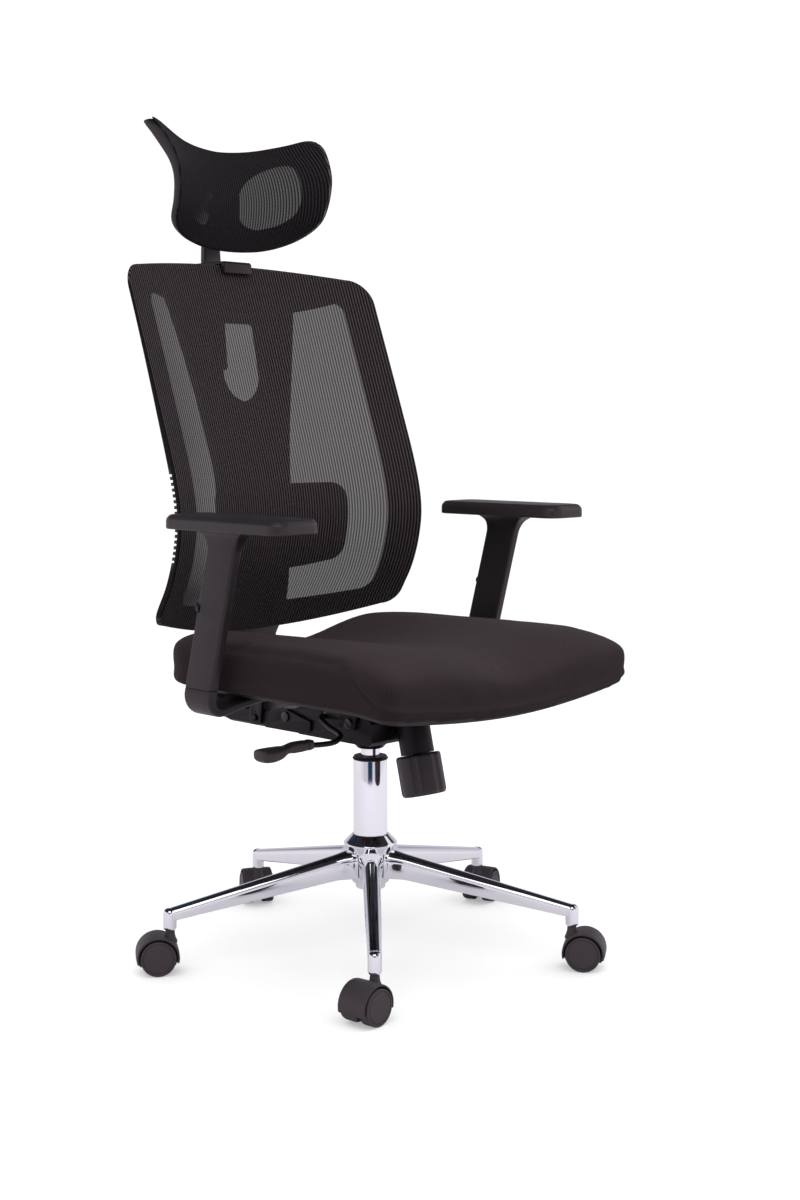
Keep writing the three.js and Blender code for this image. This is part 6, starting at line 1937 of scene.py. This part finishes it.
@dataclass
class Studio:
    """A white studio: pale floor, soft lights and the camera."""

    azimuth_deg: float = -45.5
    elevation_deg: float = 5.99
    distance: float = 2.4926
    aim_right: float = 0.0433
    aim_height: float = 0.5184
    lens: float = 51.72
    surround: float = 1.06
    low_light: float = 0.35
    high_light: float = 1.45
    floor_radius: float = 2.3

    def floor(self) -> None:
        """A wide pale floor with a trace of grain."""
        angle = np.linspace(0, TAU, 96, endpoint=False)
        rim = np.stack([np.cos(angle), np.sin(angle), 0 * angle], -1) * self.floor_radius
        mesh = bpy.data.meshes.new("floor")
        mesh.from_pydata(rim.tolist(), [], [list(range(len(rim)))])
        made = placed("floor", mesh)
        made.location.z = -0.0006
        material = bpy.data.materials.new("floor_white")
        material.use_nodes = True
        nodes = Nodes(material.node_tree)
        shader = material.node_tree.nodes["Principled BSDF"]
        shader.inputs["Roughness"].default_value = 0.6
        shader.inputs["Specular IOR Level"].default_value = 0.0
        shader.inputs["Emission Color"].default_value = (1.0, 1.0, 1.0, 1.0)
        ray = nodes.new("ShaderNodeLightPath").outputs
        grain = nodes.noise(nodes.place(), 3.0, 3.0)
        pale = nodes.mix(grain, (0.66, 0.66, 0.665, 1), (0.69, 0.69, 0.692, 1))
        mirrored = nodes.mix(ray["Is Glossy Ray"], pale, (0.6, 0.575, 0.63, 1))
        bounced = nodes.mix(ray["Is Diffuse Ray"], mirrored, (0.3, 0.295, 0.3, 1))
        nodes.feed(shader.inputs["Base Color"], bounced)
        nodes.feed(shader.inputs["Emission Strength"], nodes.math("MULTIPLY", ray["Is Camera Ray"], 0.34))
        mesh.materials.append(material)

    def light(self, name: str, at: Sequence[float], towards: Sequence[float], size: float, power: float) -> None:
        """One square soft light that looks at a point."""
        data = bpy.data.lights.new(name, "AREA")
        data.shape, data.size, data.energy = "SQUARE", size, power
        lamp = placed(name, data)
        lamp.location = Vector(at)
        lamp.rotation_mode = "QUATERNION"
        lamp.rotation_quaternion = (Vector(towards) - Vector(at)).to_track_quat("-Z", "Y")

    def world(self) -> None:
        """A white surround whose reflections see a dim ceiling and a dim gap on the camera's side."""
        world = bpy.data.worlds.new("white_surround")
        world.use_nodes = True
        nodes = Nodes(world.node_tree)
        white = world.node_tree.nodes["Background"]
        white.inputs["Color"].default_value = (1.0, 1.0, 1.0, 1.0)
        towards = nodes.new("ShaderNodeTexCoord").outputs["Generated"]
        x, y, z = nodes.axes(towards)
        a = math.radians(self.azimuth_deg)
        facing = nodes.math("ADD", nodes.math("MULTIPLY", x, math.sin(a)), nodes.math("MULTIPLY", y, -math.cos(a)))
        aside = nodes.math("ADD", nodes.math("MULTIPLY", x, math.cos(a)), nodes.math("MULTIPLY", y, math.sin(a)))
        ceiling = nodes.ramp(z, 0.24, 0.46)
        gap = nodes.ramp(facing, 0.93, 0.985)
        bands = nodes.wave(aside, 1.15, 1.3)
        walls = nodes.mix(bands, (0.58, 0.55, 0.62, 1), (0.88, 0.84, 0.9, 1))
        walls = nodes.mix(nodes.ramp(facing, -0.95, -0.35), (0.6, 0.57, 0.64, 1), walls)
        dim = nodes.mix(gap, walls, (0.014, 0.04, 0.085, 1))
        seen = nodes.new("ShaderNodeBackground")
        nodes.feed(seen.inputs["Color"], nodes.mix(ceiling, dim, (0.014, 0.024, 0.042, 1)))
        ray = nodes.new("ShaderNodeLightPath").outputs
        overhead = nodes.ramp(z, -0.25, 0.95)
        level = nodes.blend(overhead, self.low_light, self.high_light)
        level = nodes.blend(ray["Is Diffuse Ray"], self.surround, level)
        nodes.feed(white.inputs["Strength"], level)
        join = nodes.new("ShaderNodeMixShader")
        nodes.feed(join.inputs[0], ray["Is Glossy Ray"])
        nodes.feed(join.inputs[1], white.outputs[0])
        nodes.feed(join.inputs[2], seen.outputs[0])
        nodes.feed(world.node_tree.nodes["World Output"].inputs["Surface"], join.outputs[0])
        bpy.context.scene.world = world

    def camera(self) -> None:
        """The camera: back from its aim along azimuth and elevation."""
        a, e = math.radians(self.azimuth_deg), math.radians(self.elevation_deg)
        back = Vector((math.sin(a) * math.cos(e), -math.cos(a) * math.cos(e), math.sin(e)))
        right = Vector((math.cos(a), math.sin(a), 0))
        aim = Vector(AXIS) + right * self.aim_right + Vector((0, 0, self.aim_height))
        data = bpy.data.cameras.new("camera")
        data.lens, data.sensor_width, data.sensor_fit = self.lens, 36.0, "AUTO"
        made = placed("camera", data)
        made.location = aim + back * self.distance
        made.rotation_mode = "QUATERNION"
        made.rotation_quaternion = (-back).to_track_quat("-Z", "Y")
        bpy.context.scene.camera = made

    def build(self) -> None:
        """Sets the whole studio up."""
        bpy.context.scene.view_settings.view_transform = "Standard"
        self.world()
        self.floor()
        self.light("key", (-1.8, -1.6, 2.6), (0, 0, 0.6), 2.4, 27)
        self.light("fill", (2.4, -1.4, 2.2), (0, 0, 0.6), 2.4, 14)
        self.camera()


def main() -> None:
    """Builds the chair's looks, piece by piece, and the studio round it."""
    logging.basicConfig(level=logging.INFO, format="%(name)s: %(message)s")
    studio = Studio()
    studio.build()
    shop = Workshop()
    StarBase().build(shop)
    for number in range(1, 6):
        lo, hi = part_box(f"castor_stem_{number}")
        stem = (lo + hi) / 2
        lo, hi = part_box(f"wheel_left_{number}")
        left = (lo + hi) / 2
        lo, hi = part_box(f"wheel_right_{number}")
        axle = (left + (lo + hi) / 2) / 2
        heading = math.degrees(math.atan2(axle.y - stem.y, axle.x - stem.x))
        Castor(number, heading, stem).build(shop)
    Mechanism().build(shop)
    TensionKnob().build(shop)
    Lever().build(shop)
    Seat().build(shop)
    for side in Side:
        Armrest(side).build(shop)
    Backrest().build(shop)
    Headrest().build(shop)


if __name__ == "__main__":
    main()
